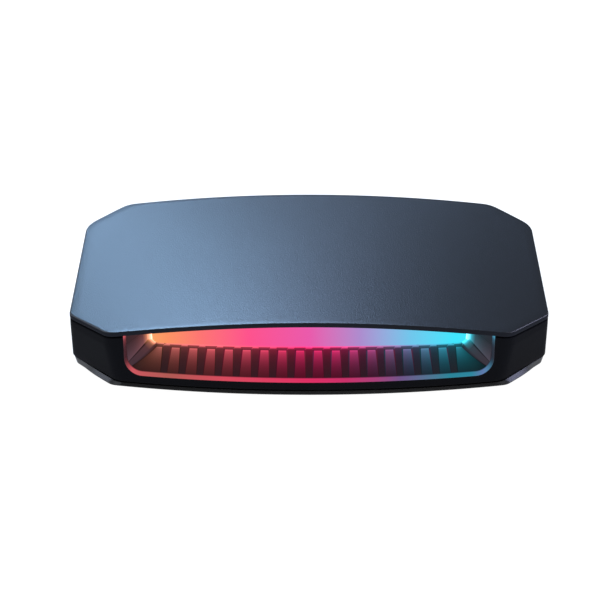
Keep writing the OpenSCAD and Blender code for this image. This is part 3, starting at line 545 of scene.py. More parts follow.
# The walls run from one side of the opening round the rear to the other, and leave out each port's cell
wall = rows[:, mouth_k:rows.shape[1] - mouth_k + 1]
wall_columns = wall.shape[1]
wall_points, (quads,) = lattice(wall, True)
quad_row = np.repeat(np.arange(len(wall)), wall_columns - 1)
quad_column = np.tile(np.arange(wall_columns - 1), len(wall))
rear_0 = int(np.argmin(np.abs(wall[outer_0, :, 0] - cell_x[0]) + np.abs(wall[outer_0, :, 1] - rear_face_y)))
in_rear = (quad_column >= rear_0) & (quad_column < rear_0 + len(rear_x) - 1)
in_outer = (quad_row >= outer_0 + cell_low) & (quad_row < outer_0 + cell_high)
in_inner = (quad_row >= inner_0 - cell_high) & (quad_row < inner_0 - cell_low)
body_parts = [(wall_points, [quads[~(in_rear & (in_outer | in_inner))]])]


def sill(x):
    return trough(x, mouth_hw, sill_h, mouth_r)


# The low bar under the opening, and the two cheeks that close the walls beside it
bar_columns = np.r_[rows.shape[1] - mouth_k:rows.shape[1], 0:mouth_k + 1]
bar_outer = [raised(overhang, lambda x, y: mix(floor_z + body_edge_r, sill(x), k / low_n), cut_lean)
             for k in range(low_n + 1)]
bar_top = [raised(inset, lambda x, y: sill(x)) for inset in between(overhang, inner, 2)]
bar_inner = [raised(inner, lambda x, y: mix(floor_z + body_edge_r, sill(x), k / low_n))
             for k in range(low_n, -1, -1)]
bar = np.stack(foot_rows + bar_outer + bar_top + bar_inner + last_row)[:, bar_columns]
body_parts.append(lattice(bar, True))
top_0 = outer_0 + low_n + 1
for column, end in ((0, -1), (wall_columns - 1, 0)):
    cheek = np.concatenate([wall[outer_0 + low_n:inner_0 - low_n + 1, column],
                            bar[top_0:top_0 + 2, end][::-1]])
    body_parts.append((cheek, [np.arange(len(cheek))[None]]))


def slot_hole(c, s, hw, hh):
    """Distance from the middle to the edge of a hole with half-round ends, in the direction (c, s)."""
    r = hh + port_slack
    a = hw - hh
    end = a * np.abs(c) + np.sqrt(np.maximum(r ** 2 - (a * s) ** 2, 0))
    return np.where(r * np.abs(c) <= a * np.abs(s), r / np.maximum(np.abs(s), tiny), end)


def video_hole(c, s, hw, hh):
    """The same for a flat-topped hole with cut lower corners: the nearest of its six straight edges."""
    w, h = hw + port_slack, hh + port_slack
    slant = (w + h - video_cut - port_slack * (2 - math.sqrt(2))) / math.sqrt(2)
    d = math.sqrt(0.5)
    ways = [(1, 0, w), (-1, 0, w), (0, 1, h), (0, -1, h), (d, -d, slant), (-d, -d, slant)]
    return 1 / np.max([(a * c + b * s) / reach for a, b, reach in ways], axis=0)


def port_cell(cell, x, z, hole, *size):
    """Wall from a cell's edge in to a port's opening, through the wall and out to the cell's edge inside."""
    c0 = rear_0 + cell * cell_n
    c1 = c0 + cell_n
    up, over = np.arange(cell_low, cell_high), np.arange(c0, c1)
    row = np.concatenate([np.full(cell_n, cell_low), up, np.full(cell_n, cell_high), up[::-1] + 1])
    column = np.concatenate([over, np.full(len(up), c1), over[::-1] + 1, np.full(len(up), c0)])
    outside, inside = wall[outer_0 + row, column], wall[inner_0 - row, column]
    away = outside[:, [0, 2]] - (x, z)
    c, s = (away / np.linalg.norm(away, axis=1, keepdims=True)).T
    reach = hole(c, s, *size)

    def ring_at(grow, y):
        return np.column_stack([x + (reach + grow) * c, np.full(c.shape, y), z + (reach + grow) * s])

    lip = [ring_at(port_edge_r * (1 - math.sin(a)), rear_face_y - port_edge_r * (1 - math.cos(a)))
           for a in quarter]
    mouth = ring_at(0, rear_face_y - wall_t)
    rings = [outside, mix(outside, lip[0], 0.5), *lip, mouth, mix(inside, mouth, 0.5), inside]
    return lattice(np.stack(rings), False, True)


# Middle of each port, the form of its hole, and the half width and height of that
ports = [(39, 11.4, slot_hole, 2.9, 2.9), (27.5, 11.4, slot_hole, 2.9, 2.9), (8, 11.3, video_hole, 7.5, 2.9),
         (-15, 11.3, video_hole, 7.5, 2.9), (-36, 9.98, slot_hole, 4.47, 1.58)]
body_parts += [port_cell(cell, *port) for cell, port in enumerate(ports)]
post_profile = [(0, post_high), (post_r, post_high), (post_r, post_low), (post_bore_r, post_low),
                (post_bore_r, post_high - post_roof), (0, post_high - post_roof)]
for side in (-1, 1):
    web_x = (side * (foot_x + post_r - web_in_post), side * (case_w / 2 - inner + web_in_wall))
    for y in foot_ys:
        body_parts.append(turned(post_profile, (side * foot_x, y, 0), post_n))
        web_y = (y - web_t / 2, y + web_t / 2)
        body_parts.append(prism([[(web_x[i], web_y[j], z) for i, j in ((0, 0), (1, 0), (1, 1), (0, 1))]
                                 for z in (post_low, post_high)]))
body = skin("body_walls", *joined(body_parts))
case_black = grained("black_plastic", "121317", "16171b", rough=(0.44, 0.08), relief=(0.00003, 0.35),
                     grain=(5200.0, 2.0), cloud=(42.0, 4.0), cloud_rough=0.05, Specular_IOR_Level=0.01)
stand_in(body, "body_shell", case_black)


# Base edge: the polished strip round the bottom cover that shows under the body. It slopes out to the table
# and leaves a thin dark gap under the body, where the two are parted for assembly.
strip_low, strip_land = 1.0, 0.15
strip_in, strip_w = 0.55, 2.1
strip_front, strip_side = (0.95, 0.25), (0.2, 1.0)
strip_front_top, strip_side_top = 1.9, 2.25
strip_ease = 0.4
strip_angle = 12

# Share of the side's shape at each column: none along the front, all of it from the front corners on
front_n = len(mouth_x) + bow_n
half_n = rows.shape[1] // 2 + 1
side_share = np.interp(np.arange(half_n), [front_n - 1, front_n + arc_n], [0, 1])
side_share = np.concatenate([side_share, side_share[1:][::-1]])[:rows.shape[1], None]


def at_height(outline, z):
    return np.column_stack([outline, z + 0 * outline[:, :1]])


strip_top = mix(strip_front_top, strip_side_top, side_share)
strip_grid = np.stack([
    eased(at_height(mix(plan(*strip_front), plan(*strip_side), side_share), strip_top), strip_ease),
    eased(at_height(plan(strip_in), strip_low + strip_land)),
    eased(at_height(plan(strip_in), strip_low)),
    at_height(plan(strip_in + strip_w), strip_low),
    at_height(plan(strip_in + strip_w), strip_top)])
base_edge = skin("base_edge", *lattice(strip_grid, True, True))
round_edges(base_edge, tray_edge_r, least_angle=strip_angle)
base_edge.data.materials.append(base_black)
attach(base_edge, "root")


# Light well: the grey moulding of the recess. Its floor climbs and narrows from the rim to the diffuser,
# with straight ribs and hollows between them that deepen to a mitred end. Two screws hold it to the bottom.
trim_w, trim_bevel_d = 0.65, 1.4
trim_d = 1.6
trim_hw, trim_sill, trim_r = mouth_hw - trim_w, sill_h + trim_w, mouth_r - trim_w
well_d = 9
well_in, well_rise = 5.65, 4.95
well_hw, well_sill, well_r = trim_hw - well_in, trim_sill + well_rise, 2
diffuser_r = 320
flat_r = 1e5
ledge_w = 0.8
well_wall = 2
well_gap = 0.15
flange_w, flange_d = 2.2, 3
led_d = 15
led_face_y = face_y + led_d
under = 2.15
face_r = front_r - overhang
rib_pitch, rib_w = 4.38, 1.48
rib_n = 8
hollow_d, hollow_front_d, hollow_run, hollow_back = 0.45, 0.05, 0.36, 0.28
hollow_spread = 1.016
well_run = well_d - trim_d
hollow_end = 1 - hollow_back / well_run
hollow_foot = hollow_end - hollow_run / well_run
corner_rib_low = (math.radians(46), math.radians(20))
corner_rib_high = (math.radians(64), math.radians(62))
side_hollow_h = 0.55
well_edge_r, well_edge_angle, well_crease = 0.03, 22, 20
bed_edge = 0.03
bed_shares = np.array([0, bed_edge, 0.33, 0.67, 1 - bed_edge, 1])
leg_shares = np.array([0, 0.25, 0.5, 0.75, 1])
corner_n = 5
# Painted light on the floor: the glow painted on the hollows' inner and outer walls and how far their hue is
# shifted towards the lamps they face, then the same for the wide last hollow, and the last column's painted
# light
wall_in_light, wall_out_light, wall_shift = 1.7, 0.9, 0.25
wide_shares = np.array([0, 0.02, 0.2, 0.4, 0.6, 0.8, 0.98, 1])
wide_light = np.array([0, 0.95, 0.95, 0.9, 0.8, 0.65, 0.5, 0])
wide_wall_light, wide_shift, last_light = 0.1, 0.3, 0.7


def hollow_columns():
    """Columns of the right half of the floor, from the middle out: the two edges that each lies between, its
    share of the way from one to the other, and 1 where it stands in a hollow. The last three numbers are its
    shares of the painted light in the hollows and on the ribs, and how far along the front its painted colour
    comes from. A hollow's walls get painted light in the hue of the lamps that they face, the inner ones less
    towards the end."""

    def hollow(left, right, shares, light, inner_light, outer_light, shift):
        walls = [shares == 0, shares == 1]
        wall_light = np.select(walls, [inner_light, outer_light], 0)
        wall_shifts = np.select(walls, [shift, -shift], 0)
        return [(left, right, *column)
                for column in zip(shares, np.ones(len(shares)), light, wall_light, wall_shifts)]

    columns = [(-rib_w / 2, rib_w / 2, f, 0, 0, 1, 0) for f in (0.5, 1)]
    bed_light = np.where((bed_shares == 0) | (bed_shares == 1), 0, 1)
    for k in range(rib_n):
        left, right = k * rib_pitch + rib_w / 2, (k + 1) * rib_pitch - rib_w / 2
        columns += hollow(left, right, bed_shares, bed_light, wall_in_light * (1 - k / rib_n), wall_out_light,
                          wall_shift)
        columns += [(right, right + rib_w, f, 0, 0, 1, 0) for f in (0, 0.5, 1)]
    last = rib_n * rib_pitch + rib_w / 2
    columns += hollow(last, np.nan, wide_shares, wide_light, wide_wall_light, wide_wall_light, wide_shift)
    return np.array(columns + [(last, np.nan, 1, 0, 0, last_light, 0)]).T


col_a, col_b, col_f, col_bed, col_bed_light, col_rib_light, col_side = hollow_columns()


def well_row(s, depth, hw, sill_z, r, y, scale=1.0):
    """One section of the well from the middle of its floor out along the ribs, round the corner and up the
    right side. y gives the depth at x, and depth is how deep the hollows are."""
    low_a, high_a = mix(*corner_rib_low, s), mix(*corner_rib_high, s)
    right = np.where(np.isnan(col_b), hw - r + r * math.sin(low_a), col_b * scale)
    x = mix(col_a * scale + col_bed * depth, right - col_bed * depth, col_f)
    z = trough(x, hw, sill_z, r) - col_bed * depth
    a = np.linspace(low_a, high_a, corner_n + 1)[1:]
    rib = np.column_stack([hw - r + r * np.sin(a), sill_z + r - r * np.cos(a)])
    top = np.array([hw, roof(hw, y(hw)) - under])
    upper = mix(np.array([hw, sill_z + r]), top, side_hollow_h)
    up = (upper - rib[-1]) / np.linalg.norm(upper - rib[-1])
    out = np.array([up[1], -up[0]])
    bed = mix(rib[-1] + up * depth, upper - up * depth, bed_shares[:, None]) + out * depth
    leg = mix(upper, top, leg_shares[:, None])
    across = np.concatenate([np.column_stack([x, z]), rib, bed, leg])
    return np.column_stack([across[:, 0], y(across[:, 0]), across[:, 1]])


def both_halves(right, flip=(-1, 1, 1)):
    """A line's right half, and before it its mirror image on the left, multiplied by flip."""
    return np.concatenate([right[:0:-1] * flip, right])


def hollow_depth(s):
    return float(np.interp(s, [0, hollow_foot, hollow_end], [hollow_front_d, hollow_d, 0]))


def ribbed_row(s):
    """Section a share s of the way from the rim to the diffuser."""

    def y(x):
        return mix(bow(x, face_y + trim_d, face_r - trim_d), bow(x, face_y + well_d, diffuser_r), s)

    return well_row(s, hollow_depth(s), mix(trim_hw, well_hw, s), mix(trim_sill, well_sill, s),
                    mix(trim_r, well_r, s), y, mix(hollow_spread, 1, s))


def plain_row(hw, sill_z, r, front, radius):
    """Section without hollows, for the back and the outside of the moulding."""
    return well_row(1, 0, hw, sill_z, r, lambda x: bow(x, front, radius), (hw - r) / (well_hw - well_r))


def capped(grid):
    """Points and faces of a grid whose last row meets its first, with both ends filled."""
    points, faces = lattice(grid, True)
    ends = np.arange(len(grid)) * grid.shape[1]
    return points, faces + [np.stack([ends, ends + grid.shape[1] - 1])]


step = 0.003
bed_n, bed_stop, bed_last = 12, 0.06, 0.025
well_shares = np.concatenate([np.linspace(0, hollow_foot - bed_stop, bed_n),
                              [hollow_foot - bed_last, hollow_foot, hollow_foot + step],
                              [hollow_end - step, hollow_end, hollow_end + step, 1]])
ledge_hw, ledge_sill, ledge_r = well_hw + ledge_w, well_sill - ledge_w, well_r + ledge_w
outer_hw, outer_sill = ledge_hw + well_wall, ledge_sill - well_wall
well_rows = [ribbed_row(s) for s in well_shares] + [
    plain_row(ledge_hw, ledge_sill, ledge_r, face_y + well_d, diffuser_r),
    plain_row(ledge_hw, ledge_sill, ledge_r, led_face_y - seat, flat_r),
    plain_row(outer_hw + flange_w, outer_sill, well_r, led_face_y - seat, flat_r),
    plain_row(outer_hw + flange_w, outer_sill, well_r, led_face_y - flange_d, flat_r),
    plain_row(outer_hw, outer_sill, ledge_r, led_face_y - flange_d, flat_r),
    plain_row(outer_hw, outer_sill, ledge_r, face_y + well_d, diffuser_r),
    plain_row(mouth_hw - well_gap, sill_h + well_gap, mouth_r - well_gap, face_y + trim_d + seat,
              face_r - trim_d)]
well_grid = np.stack([both_halves(row) for row in well_rows])
dark_rows = np.zeros((len(well_rows) - len(well_shares), well_grid.shape[1]))


def by_depth(at, values):
    """Values at the sections with painted light, from those at some shares of the way back."""
    return np.interp(well_shares, at, values)


def along(floor, corner, side, leg):
    """Values along the right half of a section: on its floor, corner rib and side hollow, and above that."""
    sizes = (len(col_a), corner_n, len(bed_shares), len(leg_shares))
    return np.concatenate([np.broadcast_to(part, n) for part, n in zip((floor, corner, side, leg), sizes)])


def well_mark(*pairs):
    """Sum of values by depth times values along a section, for both halves, with none behind and outside."""
    right = sum(np.outer(deep, across) for deep, across in pairs)
    return np.concatenate([both_halves(right.T, 1).T, dark_rows])


# How each point of the well is painted with light from behind, as emission on the grey moulding: the hollows
# are painted brighter towards the back, the rib tops stay dim, a painted hot strip runs along the diffuser,
# and the corners have a painted grey sheen
bed_glow = by_depth([0, 0.14, 0.33, 0.51, 0.72, 0.845, hollow_foot, hollow_foot + step, hollow_end,
                     hollow_end + step, 1], [0.21, 0.26, 0.36, 0.56, 1.0, 1.4, 2.4, 0.3, 1.0, 2.8, 3.0])
rib_glow = by_depth([0, 0.18, 0.48, 0.69, 0.90, 0.935, 0.96, 1],
                    [0.06, 0.075, 0.14, 0.24, 0.5, 1.6, 3.0, 3.2])
wall_glow = by_depth([0, 0.18, 0.48, 0.69, 0.85, hollow_foot, hollow_end, hollow_end + step],
                     [0.06, 0.075, 0.14, 0.24, 0.3, 0.1, 0.7, 2.8])
bed_flare = by_depth([0, hollow_end, hollow_end + step, 1], [0, 0.04, 0.2, 0.35])
rib_flare = by_depth([0, 0.925, 0.955, 1], [0, 0, 0.15, 0.35])
side_flare = by_depth([0, 0.72, 0.85, 0.93, 1], [0, 0, 0.3, 1.0, 3.0])
corner_flare = by_depth([0, 0.7, 0.85, 0.95, 1], [0, 0, 0.1, 0.6, 1.2])
# Painted sheen: a grey on the floor that fades towards the back, and a painted hot spot in the side hollows
# and up the sides next to the diffuser
sheen = by_depth([0, 0.6, 1], [1.0, 0.8, 0.3])
hot_sheen = by_depth([0.9, 1], [0, 18])
corner_light, leg_light = 1.3, 0.45
side_bed_light = [0, 0.8, 0.7, 0.6, 0.5, 0]
side_wall_light = [0.1, 0, 0, 0, 0, 1.5]
rib_painted_sheen, corner_painted_sheen, leg_painted_sheen = 0.3, 1.2, 0.5
side_painted_sheen = [0, 2.0, 1.5, 1.0, 0.7, 0.4]
in_wall = (col_bed == 1) & ((col_f == 0) | (col_f == 1))
bed_light = along(col_bed_light, 0, side_bed_light, leg_light)
rib_light = along(np.where(in_wall, 0, col_rib_light), corner_light, 0, 0)
wall_light = along(np.where(in_wall, col_rib_light, 0), 0, side_wall_light, 0)
corner_hot = along(0, np.linspace(1.0, 1.4, corner_n), 0, 0)
side_hot = along(0, 0, 1, np.linspace(0.6, 0.2, len(leg_shares)))
painted_sheen_share = along(np.append(rib_painted_sheen * (1 - col_bed[:-1]), corner_painted_sheen), corner_painted_sheen, side_painted_sheen, leg_painted_sheen)
# The walls' hues are shifted along the ramp, a painted tint of the lamps that they face, which fades out
# towards the back
side_shift = along(col_side, 0, 0, 0)
side_fade = np.append(by_depth([0.85, hollow_foot], [1, 0]), dark_rows[:, 0])
painted_well_light = {
    "glow": well_mark((bed_glow, bed_light), (rib_glow, rib_light), (wall_glow, wall_light)),
    "flare": well_mark((bed_flare, along(col_bed, 0, 0, 0)), (rib_flare, along(1 - col_bed, 0, 0, 0)),
                       (side_flare, side_hot), (corner_flare, corner_hot)),
    "sheen": well_mark((sheen, painted_sheen_share), (hot_sheen, side_hot)),
    "shift": np.outer(side_fade, both_halves(side_shift, -1))}
ear_r, ear_bore_r, ear_t = 2.6, 1.35, 1.6
ear_out, ear_back, ear_drop = 2.1, 2, 0.3
ear_profile = [(ear_r, 0), (ear_r, ear_t), (ear_bore_r, ear_t), (ear_bore_r, 0), (ear_r, 0)]
ear_y, ear_z = led_face_y - ear_back, well_sill - well_wall - ear_drop
ears = [turned(ear_profile, (side * (mouth_hw + ear_out), ear_y, ear_z), post_n) for side in (-1, 1)]
well_points, well_faces = joined([capped(well_grid)] + ears)
unlit = np.zeros(len(well_points) - well_grid.size // 3)
well = skin("ribbed_well", well_points, well_faces, well_crease,
            **{name: np.append(values, unlit) for name, values in painted_well_light.items()})
round_edges(well, well_edge_r, segments=1, least_angle=well_edge_angle)
lamp_hues = [(0.0, "fba264"), (0.05, "fc9261"), (0.16, "fd7271"), (0.31, "fd4f8b"), (0.5, "e957aa"),
             (0.66, "ac8acd"), (0.82, "6ec5eb"), (0.96, "3ce5fc")]
# Hues of the painted glow on the well's floor, and the colour of its painted grey sheen
painted_floor_light_hues = [(0.02, "7f4540"), (0.19, "9d3f46"), (0.48, "a61c46"), (0.58, "a01b4a"), (0.70, "792a56"),
              (0.81, "484769"), (0.92, "246377"), (1.0, "1a5f6b")]
painted_sheen_colour = (0.034, 0.02, 0.029)


def lamp_light(s, hues, half_width, shift=0.0):
    """Colour of the lamps along the front: a ramp over X, read a shift further on. The shift paints the hue
    of the lamps that the well's walls face onto those walls.
    """
    x = s.node("ShaderNodeSeparateXYZ", {}, {0: s.place()})
    stops = [(place, tint(hue)) for place, hue in hues]
    return s.node("ShaderNodeValToRGB", {"stops": stops}, {0: x * (0.5 / (half_width * MM)) + 0.5 + shift})


def mark(s, name):
    return s.node("ShaderNodeAttribute", {"attribute_name": name}, {}, "Fac")


def scaled(s, colour, share):
    return s.node("ShaderNodeVectorMath", {"operation": "SCALE"}, {0: colour, "Scale": share})


def added(s, first, second):
    return s.node("ShaderNodeVectorMath", {"operation": "ADD"}, {0: first, 1: second})


def well_grey(s):
    grain = s.speckle(3600.0)
    # The base colour is the moulding's own dark grey; the emission is painted light: glow from behind, a hot
    # strip and a grey sheen
    painted_back_light = added(s, scaled(s, lamp_light(s, painted_floor_light_hues, well_hw, mark(s, "shift")), mark(s, "glow")),
                       scaled(s, lamp_light(s, lamp_hues, well_hw), mark(s, "flare")))
    return s.surface(
        Base_Color=grain.blend(tint("0d0b0d"), tint("141114")),
        Roughness=0.40 + grain * 0.12,
        Specular_IOR_Level=0.1,
        Emission_Color=added(s, painted_back_light, scaled(s, painted_sheen_colour, mark(s, "sheen"))),
        Emission_Strength=1.0,
        Normal=s.relief(grain, 0.00002, 0.3))


stand_in(well, "light_well", finish(well_grey))


# Light board: lamps in clear resin, wired through two ivory sockets and a white ribbon cable to the main
# board. Nothing of it shows with the case closed.
wire_pitch, wire_gap = 0.0005, 0.00028


def lamp_resin(s):
    grain = s.speckle(900.0, 3.0)
    return s.surface(
        Base_Color=grain.blend(tint("efeadb"), tint("f8f5ec")),
        Roughness=0.18 + grain * 0.1,
        Emission_Color=lamp_light(s, lamp_hues, well_hw),
        Emission_Strength=1.5)


def ribbon_film(s):
    x = s.node("ShaderNodeSeparateXYZ", {}, {0: s.place()})
    wire = s.node("ShaderNodeMath", {"operation": "PINGPONG"}, {0: x, 1: wire_pitch}) > wire_gap
    grain = s.speckle(2200.0)
    return s.surface(
        Base_Color=wire.blend(tint("e6e8ea"), tint("b4b9bf")),
        Roughness=0.34 + grain * 0.14,
        Normal=s.relief(wire, 0.00004, 0.6))


socket_ivory = grained("socket_ivory", "ddd6c0", "ebe5d4", rough=(0.44, 0.12), relief=(0.00002, 0.3),
                       grain=(2600.0, 2.0))
coat(finish(lamp_resin), "leds")
coat(socket_ivory, "led_socket", "board_socket")
coat(finish(ribbon_film), "ribbon_cable")


# Diffuser: a bowed sheet of milky acrylic that sits against a ledge at the back of the well and spreads
# the lamps' light into one smooth run of colour.
sheet_t = 1.5
sheet_gap, sheet_drop = 0.15, 2.3
sheet_edge_r, sheet_edge_angle = 0.12, 50
sheet_hw, sheet_sill, sheet_r = ledge_hw - sheet_gap, ledge_sill + sheet_gap, ledge_r - sheet_gap
sheet_n, sheet_corner_n, sheet_rise_n = 40, 9, 9
sheet_x = both_halves(trough_x(sheet_hw, sheet_r, sheet_n, sheet_corner_n), -1)


def sheet_row(up, depth):
    """Line across the sheet: up runs from its lower edge, with round corners, to its upper edge."""
    y = bow(sheet_x, face_y + well_d + seat + depth, diffuser_r)
    low = trough(sheet_x, sheet_hw, sheet_sill, sheet_r)
    return np.column_stack([sheet_x, y, mix(low, roof(sheet_x, y) - sheet_drop, up)])


rise = np.linspace(0, 1, sheet_rise_n)
sheet_grid = np.stack([sheet_row(up, 0) for up in rise] + [sheet_row(up, sheet_t) for up in rise[::-1]])
diffuser = skin("milky_diffuser", *capped(sheet_grid))
round_edges(diffuser, sheet_edge_r, least_angle=sheet_edge_angle)


def milky_acrylic(s):
    cloud = s.speckle(120.0, 3.0)
    grain = s.speckle(4000.0)
    return s.surface(
        Base_Color=cloud.blend(tint("1c191c"), tint("221f22")),
        Roughness=0.42 + grain * 0.1,
        Emission_Color=lamp_light(s, lamp_hues, well_hw),
        Emission_Strength=1.0,
        Specular_IOR_Level=0.05)


stand_in(diffuser, "light_diffuser", finish(milky_acrylic))


# Rim light: a U-shaped light guide in tinted clear plastic round the opening, with its bevel facing out. It
# presses into the front wall and carries the lamps' colours round the edge.
land, land_share = 0.1, 0.45
rim_r, rim_drop, rim_crease = 0.08, 1.15, 30
rim_bevel_n, rim_floor_n, rim_corner_n, rim_leg_n = 9, 40, 12, 10
rim_bevel = np.linspace((seat + land, 0), (trim_w, trim_bevel_d), rim_bevel_n)
rim_profile = np.concatenate([[(seat, 0)], rim_bevel, [(trim_w, trim_d), (seat, trim_d)]])


def rounded_loop(loop, radius, steps=4):
    """Closed outline with each corner rounded: a parabola from a point on one edge to a point on the next."""
    back = np.roll(loop, 1, axis=0) - loop
    on = np.roll(loop, -1, axis=0) - loop
    back /= np.linalg.norm(back, axis=1, keepdims=True)
    on /= np.linalg.norm(on, axis=1, keepdims=True)
    half = np.arccos(np.clip(np.sum(back * on, axis=1), -1, 1)) / 2
    cut = np.minimum(radius / np.tan(half), land * land_share)[:, None]
    t = np.linspace(0, 1, steps)[:, None, None]
    arcs = (1 - t) ** 2 * (loop + back * cut) + 2 * t * (1 - t) * loop + t ** 2 * (loop + on * cut)
    return arcs.transpose(1, 0, 2).reshape(-1, 2)


def rim_path(into, depth):
    """Path of one line of the rim: down the left leg, round the corner, along the sill and up the right leg.
    It lies into the opening by into, and back from the front face by depth."""

    def y(x):
        return bow(x, face_y + depth, face_r - depth)

    hw, low, r = mouth_hw - into, sill_h + into, mouth_r - into
    a = np.linspace(0, math.pi / 2, rim_corner_n)
    floor = np.linspace(0, hw - r, rim_floor_n)[:-1]
    leg = np.linspace(low + r, roof(hw, y(hw)) - rim_drop, rim_leg_n)[1:]
    x = np.concatenate([floor, hw - r + r * np.sin(a), np.full(len(leg), hw)])
    z = np.concatenate([np.full(len(floor), low), low + r - r * np.cos(a), leg])
    return both_halves(np.column_stack([x, y(x), z]))


rim_loop = rounded_loop(rim_profile, rim_r)
rim_grid = np.stack([rim_path(into, depth) for into, depth in rim_loop])

# The light is even along the sill, dies away round the corners, and shows again at the tops of the legs
# Across its bevel the guide's own glow carries painted shade: a darker band between two brighter ones, though
# the bevel is straight, and much less light towards its back edge
rim_across = np.interp(rim_loop[:, 1], [0, 0.25, 0.7, 1.15, trim_bevel_d, trim_d],
                       [0.9, 1.02, 0.94, 1.02, 0.25, 0.1])
rim_corner = np.interp(np.linspace(0, 90, rim_corner_n), [0, 35, 55, 75, 90], [1, 1.0, 0.55, 0.15, 0.06])
rim_leg = np.interp(np.linspace(0, 1, rim_leg_n)[1:], [0, 0.5, 0.8, 1], [0.06, 0.06, 0.3, 1.2])
rim_along = both_halves(np.concatenate([np.ones(rim_floor_n - 1), rim_corner, rim_leg]), 1)
rim_light = skin("rim_light", *capped(rim_grid), rim_crease, glow=np.outer(rim_across, rim_along))
rim_hues = [(0.02, "cf575e"), (0.12, "ae5850"), (0.27, "d8485a"), (0.5, "e12962"), (0.6, "c82a66"),
            (0.68, "a53c76"), (0.745, "6e5188"), (0.88, "1a8498"), (0.94, "1f869e"), (0.97, "5a78ac"),
            (1.0, "3f9ab8")]


def rim_guide(s):
    grain = s.speckle(2400.0)
    cloud = s.speckle(160.0, 3.0)
    even = mark(s, "glow") * (0.95 + cloud * 0.1)
    return s.surface(
        Base_Color=grain.blend(tint("3f3038"), tint("47363f")),
        Roughness=0.26 + grain * 0.08,
        Specular_IOR_Level=0.04,
        Emission_Color=scaled(s, lamp_light(s, rim_hues, mouth_hw), even),
        Emission_Strength=1.0)


stand_in(rim_light, "light_trim", finish(rim_guide))


# Top cover: the arched lid, moulded in dark slate plastic with a satin grain. Its edge stands out over the
# body, and six hooks under it snap into the walls.
cover_t, lining_gap = 2, 0.15
lining = inner + lining_gap
edge_front_r, edge_side_r = 0.06, 0.4
edge_low_r = 0.1
edge_facing = 0.35
hook_w, hook_t, hook_l, hook_barb, hook_barb_h = 8, 1.2, 4.5, 0.6, 1.4
hook_gap, hook_root = 0.15, 0.3
hook_ys, hook_xs = (-4, 13), (-24, 24)
lid_rings, lid_turn_n = 26, 7


def lid_ring(inset, drop):
    """The outline at this inset, a drop below the arched roof."""
    return raised(inset, lambda x, y: roof(x, y) - drop)


def lid_edge(turn):
    """The outline at this turn of the rounded upper edge, from level to upright."""
    tight, wide = (lid_ring(r * (1 - math.sin(turn)), r * (1 - math.cos(turn)))
                   for r in (edge_front_r, edge_side_r))
    return mix(tight, wide, side_share)


def towards_middle(edge, drop, shares):
    """Rings from an outline in to the middle, all a drop below the roof."""
    x, y = edge[:, 0] * shares[:, None], edge[:, 1] * shares[:, None]
    return list(np.stack([x, y, roof(x, y) - drop], axis=-1))


top_turn = np.linspace(0, math.pi / 2, lid_turn_n)
shares = np.linspace(0, 1, lid_rings)
lid_rows = towards_middle(lid_edge(0), 0, shares) + [lid_edge(turn) for turn in top_turn[1:]]
lid_rows += [lid_ring(edge_low_r * (1 - math.cos(a)), cover_edge_t - edge_low_r * (1 - math.sin(a)))
             for a in quarter]
lid_rows += [lid_ring(lining, cover_edge_t), lid_ring(lining, cover_t)]
lid_rows += towards_middle(plan(lining), cover_t, shares[-2::-1])
lid_parts = [lattice(np.stack(lid_rows), False, True)]


def hook(x, y, away):
    """Hook under the cover at a point of the inner wall: a flat leg and a barb, carried along the wall."""
    away = np.array(away, float)
    along = np.array([-away[1], away[0]])
    leg_top = roof(x, y) - cover_t + hook_root
    foot = roof(x, y) - cover_t - hook_l
    side = np.array([[-hook_gap - hook_t, foot], [-hook_gap, foot], [hook_barb, foot + hook_barb_h],
                     [-hook_gap, foot + hook_barb_h], [-hook_gap, leg_top], [-hook_gap - hook_t, leg_top]])
    ends = [np.column_stack([np.array([x, y]) + side[:, :1] * away + end * hook_w / 2 * along, side[:, 1]])
            for end in (-1, 1)]
    return prism(ends)


lid_parts += [hook(side * (case_w / 2 - inner), y, (side, 0)) for side in (-1, 1) for y in hook_ys]
lid_parts += [hook(x, rear_face_y - wall_t, (0, 1)) for x in hook_xs]
lid = skin("satin_lid", *joined(lid_parts))


def satin_slate(s):
    grain = s.speckle(3400.0)
    fine = s.speckle(9000.0, 1.0)
    cloud = s.speckle(30.0, 4.0)
    return s.surface(
        Base_Color=cloud.blend(tint("0f1113"), tint("131518")),
        Roughness=0.31 + fine * 0.06 + cloud * 0.02,
        Specular_IOR_Level=0.5,
        Normal=s.relief(grain, 0.00006, 0.8))


# The satin finish stops at the edge, which is black like the underside
stand_in(lid, "top_cover", finish(satin_slate))
edge_black = grained("edge_plastic", "212329", "272930", rough=(0.34, 0.06), relief=(0.00002, 0.25),
                     grain=(4200.0, 2.0), Specular_IOR_Level=0.005)
lid.data.materials.append(edge_black)
lid_facing = np.empty(len(lid.data.polygons) * 3)
lid.data.polygons.foreach_get("normal", lid_facing)
lid.data.polygons.foreach_set("material_index", (lid_facing[2::3] < edge_facing).astype(int))


# Studio: a plain white table in a white room, a camera at the photograph's angle, and five softboxes: a cool
# and a blue one behind the left of the box, a weak one over its front, and one low on either side.
table_w = 4.0
photo_px = 600
focal_px = 1807.7
aim_px = (309.1, 301.0)
aim = np.array([0, 0, 0.011])
camera_up = math.radians(23.52)
camera_away = 0.46827


def white_table(s):
    cloud = s.speckle(3.0, 2.0)
    return s.surface(
        Base_Color=cloud.blend(tint("6a6a6a"), tint("707070")),
        Roughness=0.9,
        Specular_IOR_Level=0.0,
        Emission_Color=(1.0, 1.0, 1.0, 1.0),
        Emission_Strength=1.0)


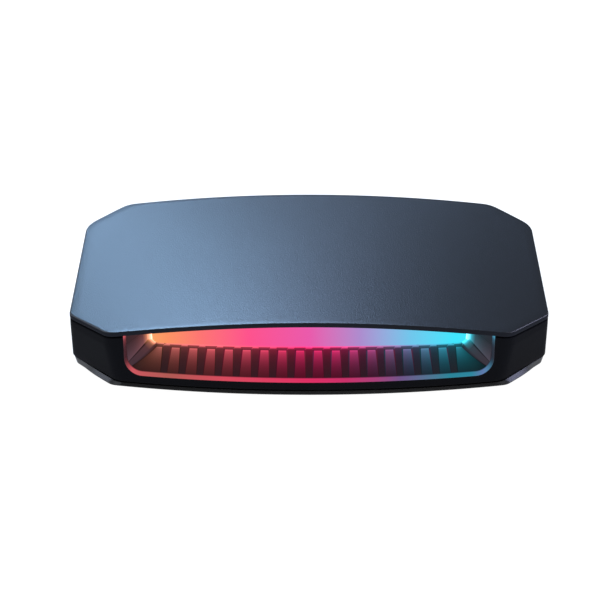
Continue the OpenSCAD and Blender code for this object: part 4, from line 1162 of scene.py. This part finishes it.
corner_xy = table_w / 2
table = bpy.data.meshes.new("white_table")
table.from_pydata([(-corner_xy, -corner_xy, 0), (corner_xy, -corner_xy, 0), (corner_xy, corner_xy, 0),
                   (-corner_xy, corner_xy, 0)], [], [(0, 1, 2, 3)])
table.materials.append(finish(white_table))
table_top = bpy.data.objects.new("white_table", table)
bpy.context.scene.collection.objects.link(table_top)


def softbox(name, at, size, power, colour):
    """Square area lamp that faces the middle of the box."""
    lamp = bpy.data.lights.new(name, "AREA")
    lamp.size = size
    lamp.energy = power
    lamp.color = tint(colour)[:3]
    holder = bpy.data.objects.new(name, lamp)
    holder.location = at
    holder.rotation_euler = Vector(at).to_track_quat("Z", "Y").to_euler()
    bpy.context.scene.collection.objects.link(holder)


softbox("cool_softbox", (-0.356, 0.656, 1.065), 0.57, 25.0, "a5d4ff")
softbox("blue_softbox", (-0.193, 0.621, 1.126), 0.75, 13.0, "bad0ff")
softbox("front_softbox", (0.3, -0.7, 1.2), 0.8, 2.5, "ffffff")
softbox("left_softbox", (-1.288, 0.304, 0.455), 0.5, 3.4, "d4dcf0")
softbox("right_softbox", (1.288, 0.304, 0.455), 0.5, 7.0, "c4c8f0")

room = bpy.data.worlds.new("white_room")
room.use_nodes = True
room.node_tree.nodes["Background"].inputs["Color"].default_value = (1.0, 0.94, 0.92, 1.0)
room.node_tree.nodes["Background"].inputs["Strength"].default_value = 0.14
bpy.context.scene.world = room
bpy.context.scene.view_settings.view_transform = "Standard"

lens = bpy.data.cameras.new("photo_camera")
lens.sensor_width = 36.0
lens.lens = lens.sensor_width * focal_px / photo_px
lens.shift_x = (photo_px / 2 - aim_px[0]) / photo_px
lens.shift_y = (aim_px[1] - photo_px / 2) / photo_px
camera = bpy.data.objects.new("photo_camera", lens)
away = np.array([0, -math.cos(camera_up), math.sin(camera_up)])
camera.location = aim + away * camera_away
camera.rotation_euler = Vector(away).to_track_quat("Z", "Y").to_euler()
bpy.context.scene.collection.objects.link(camera)
bpy.context.scene.camera = camera
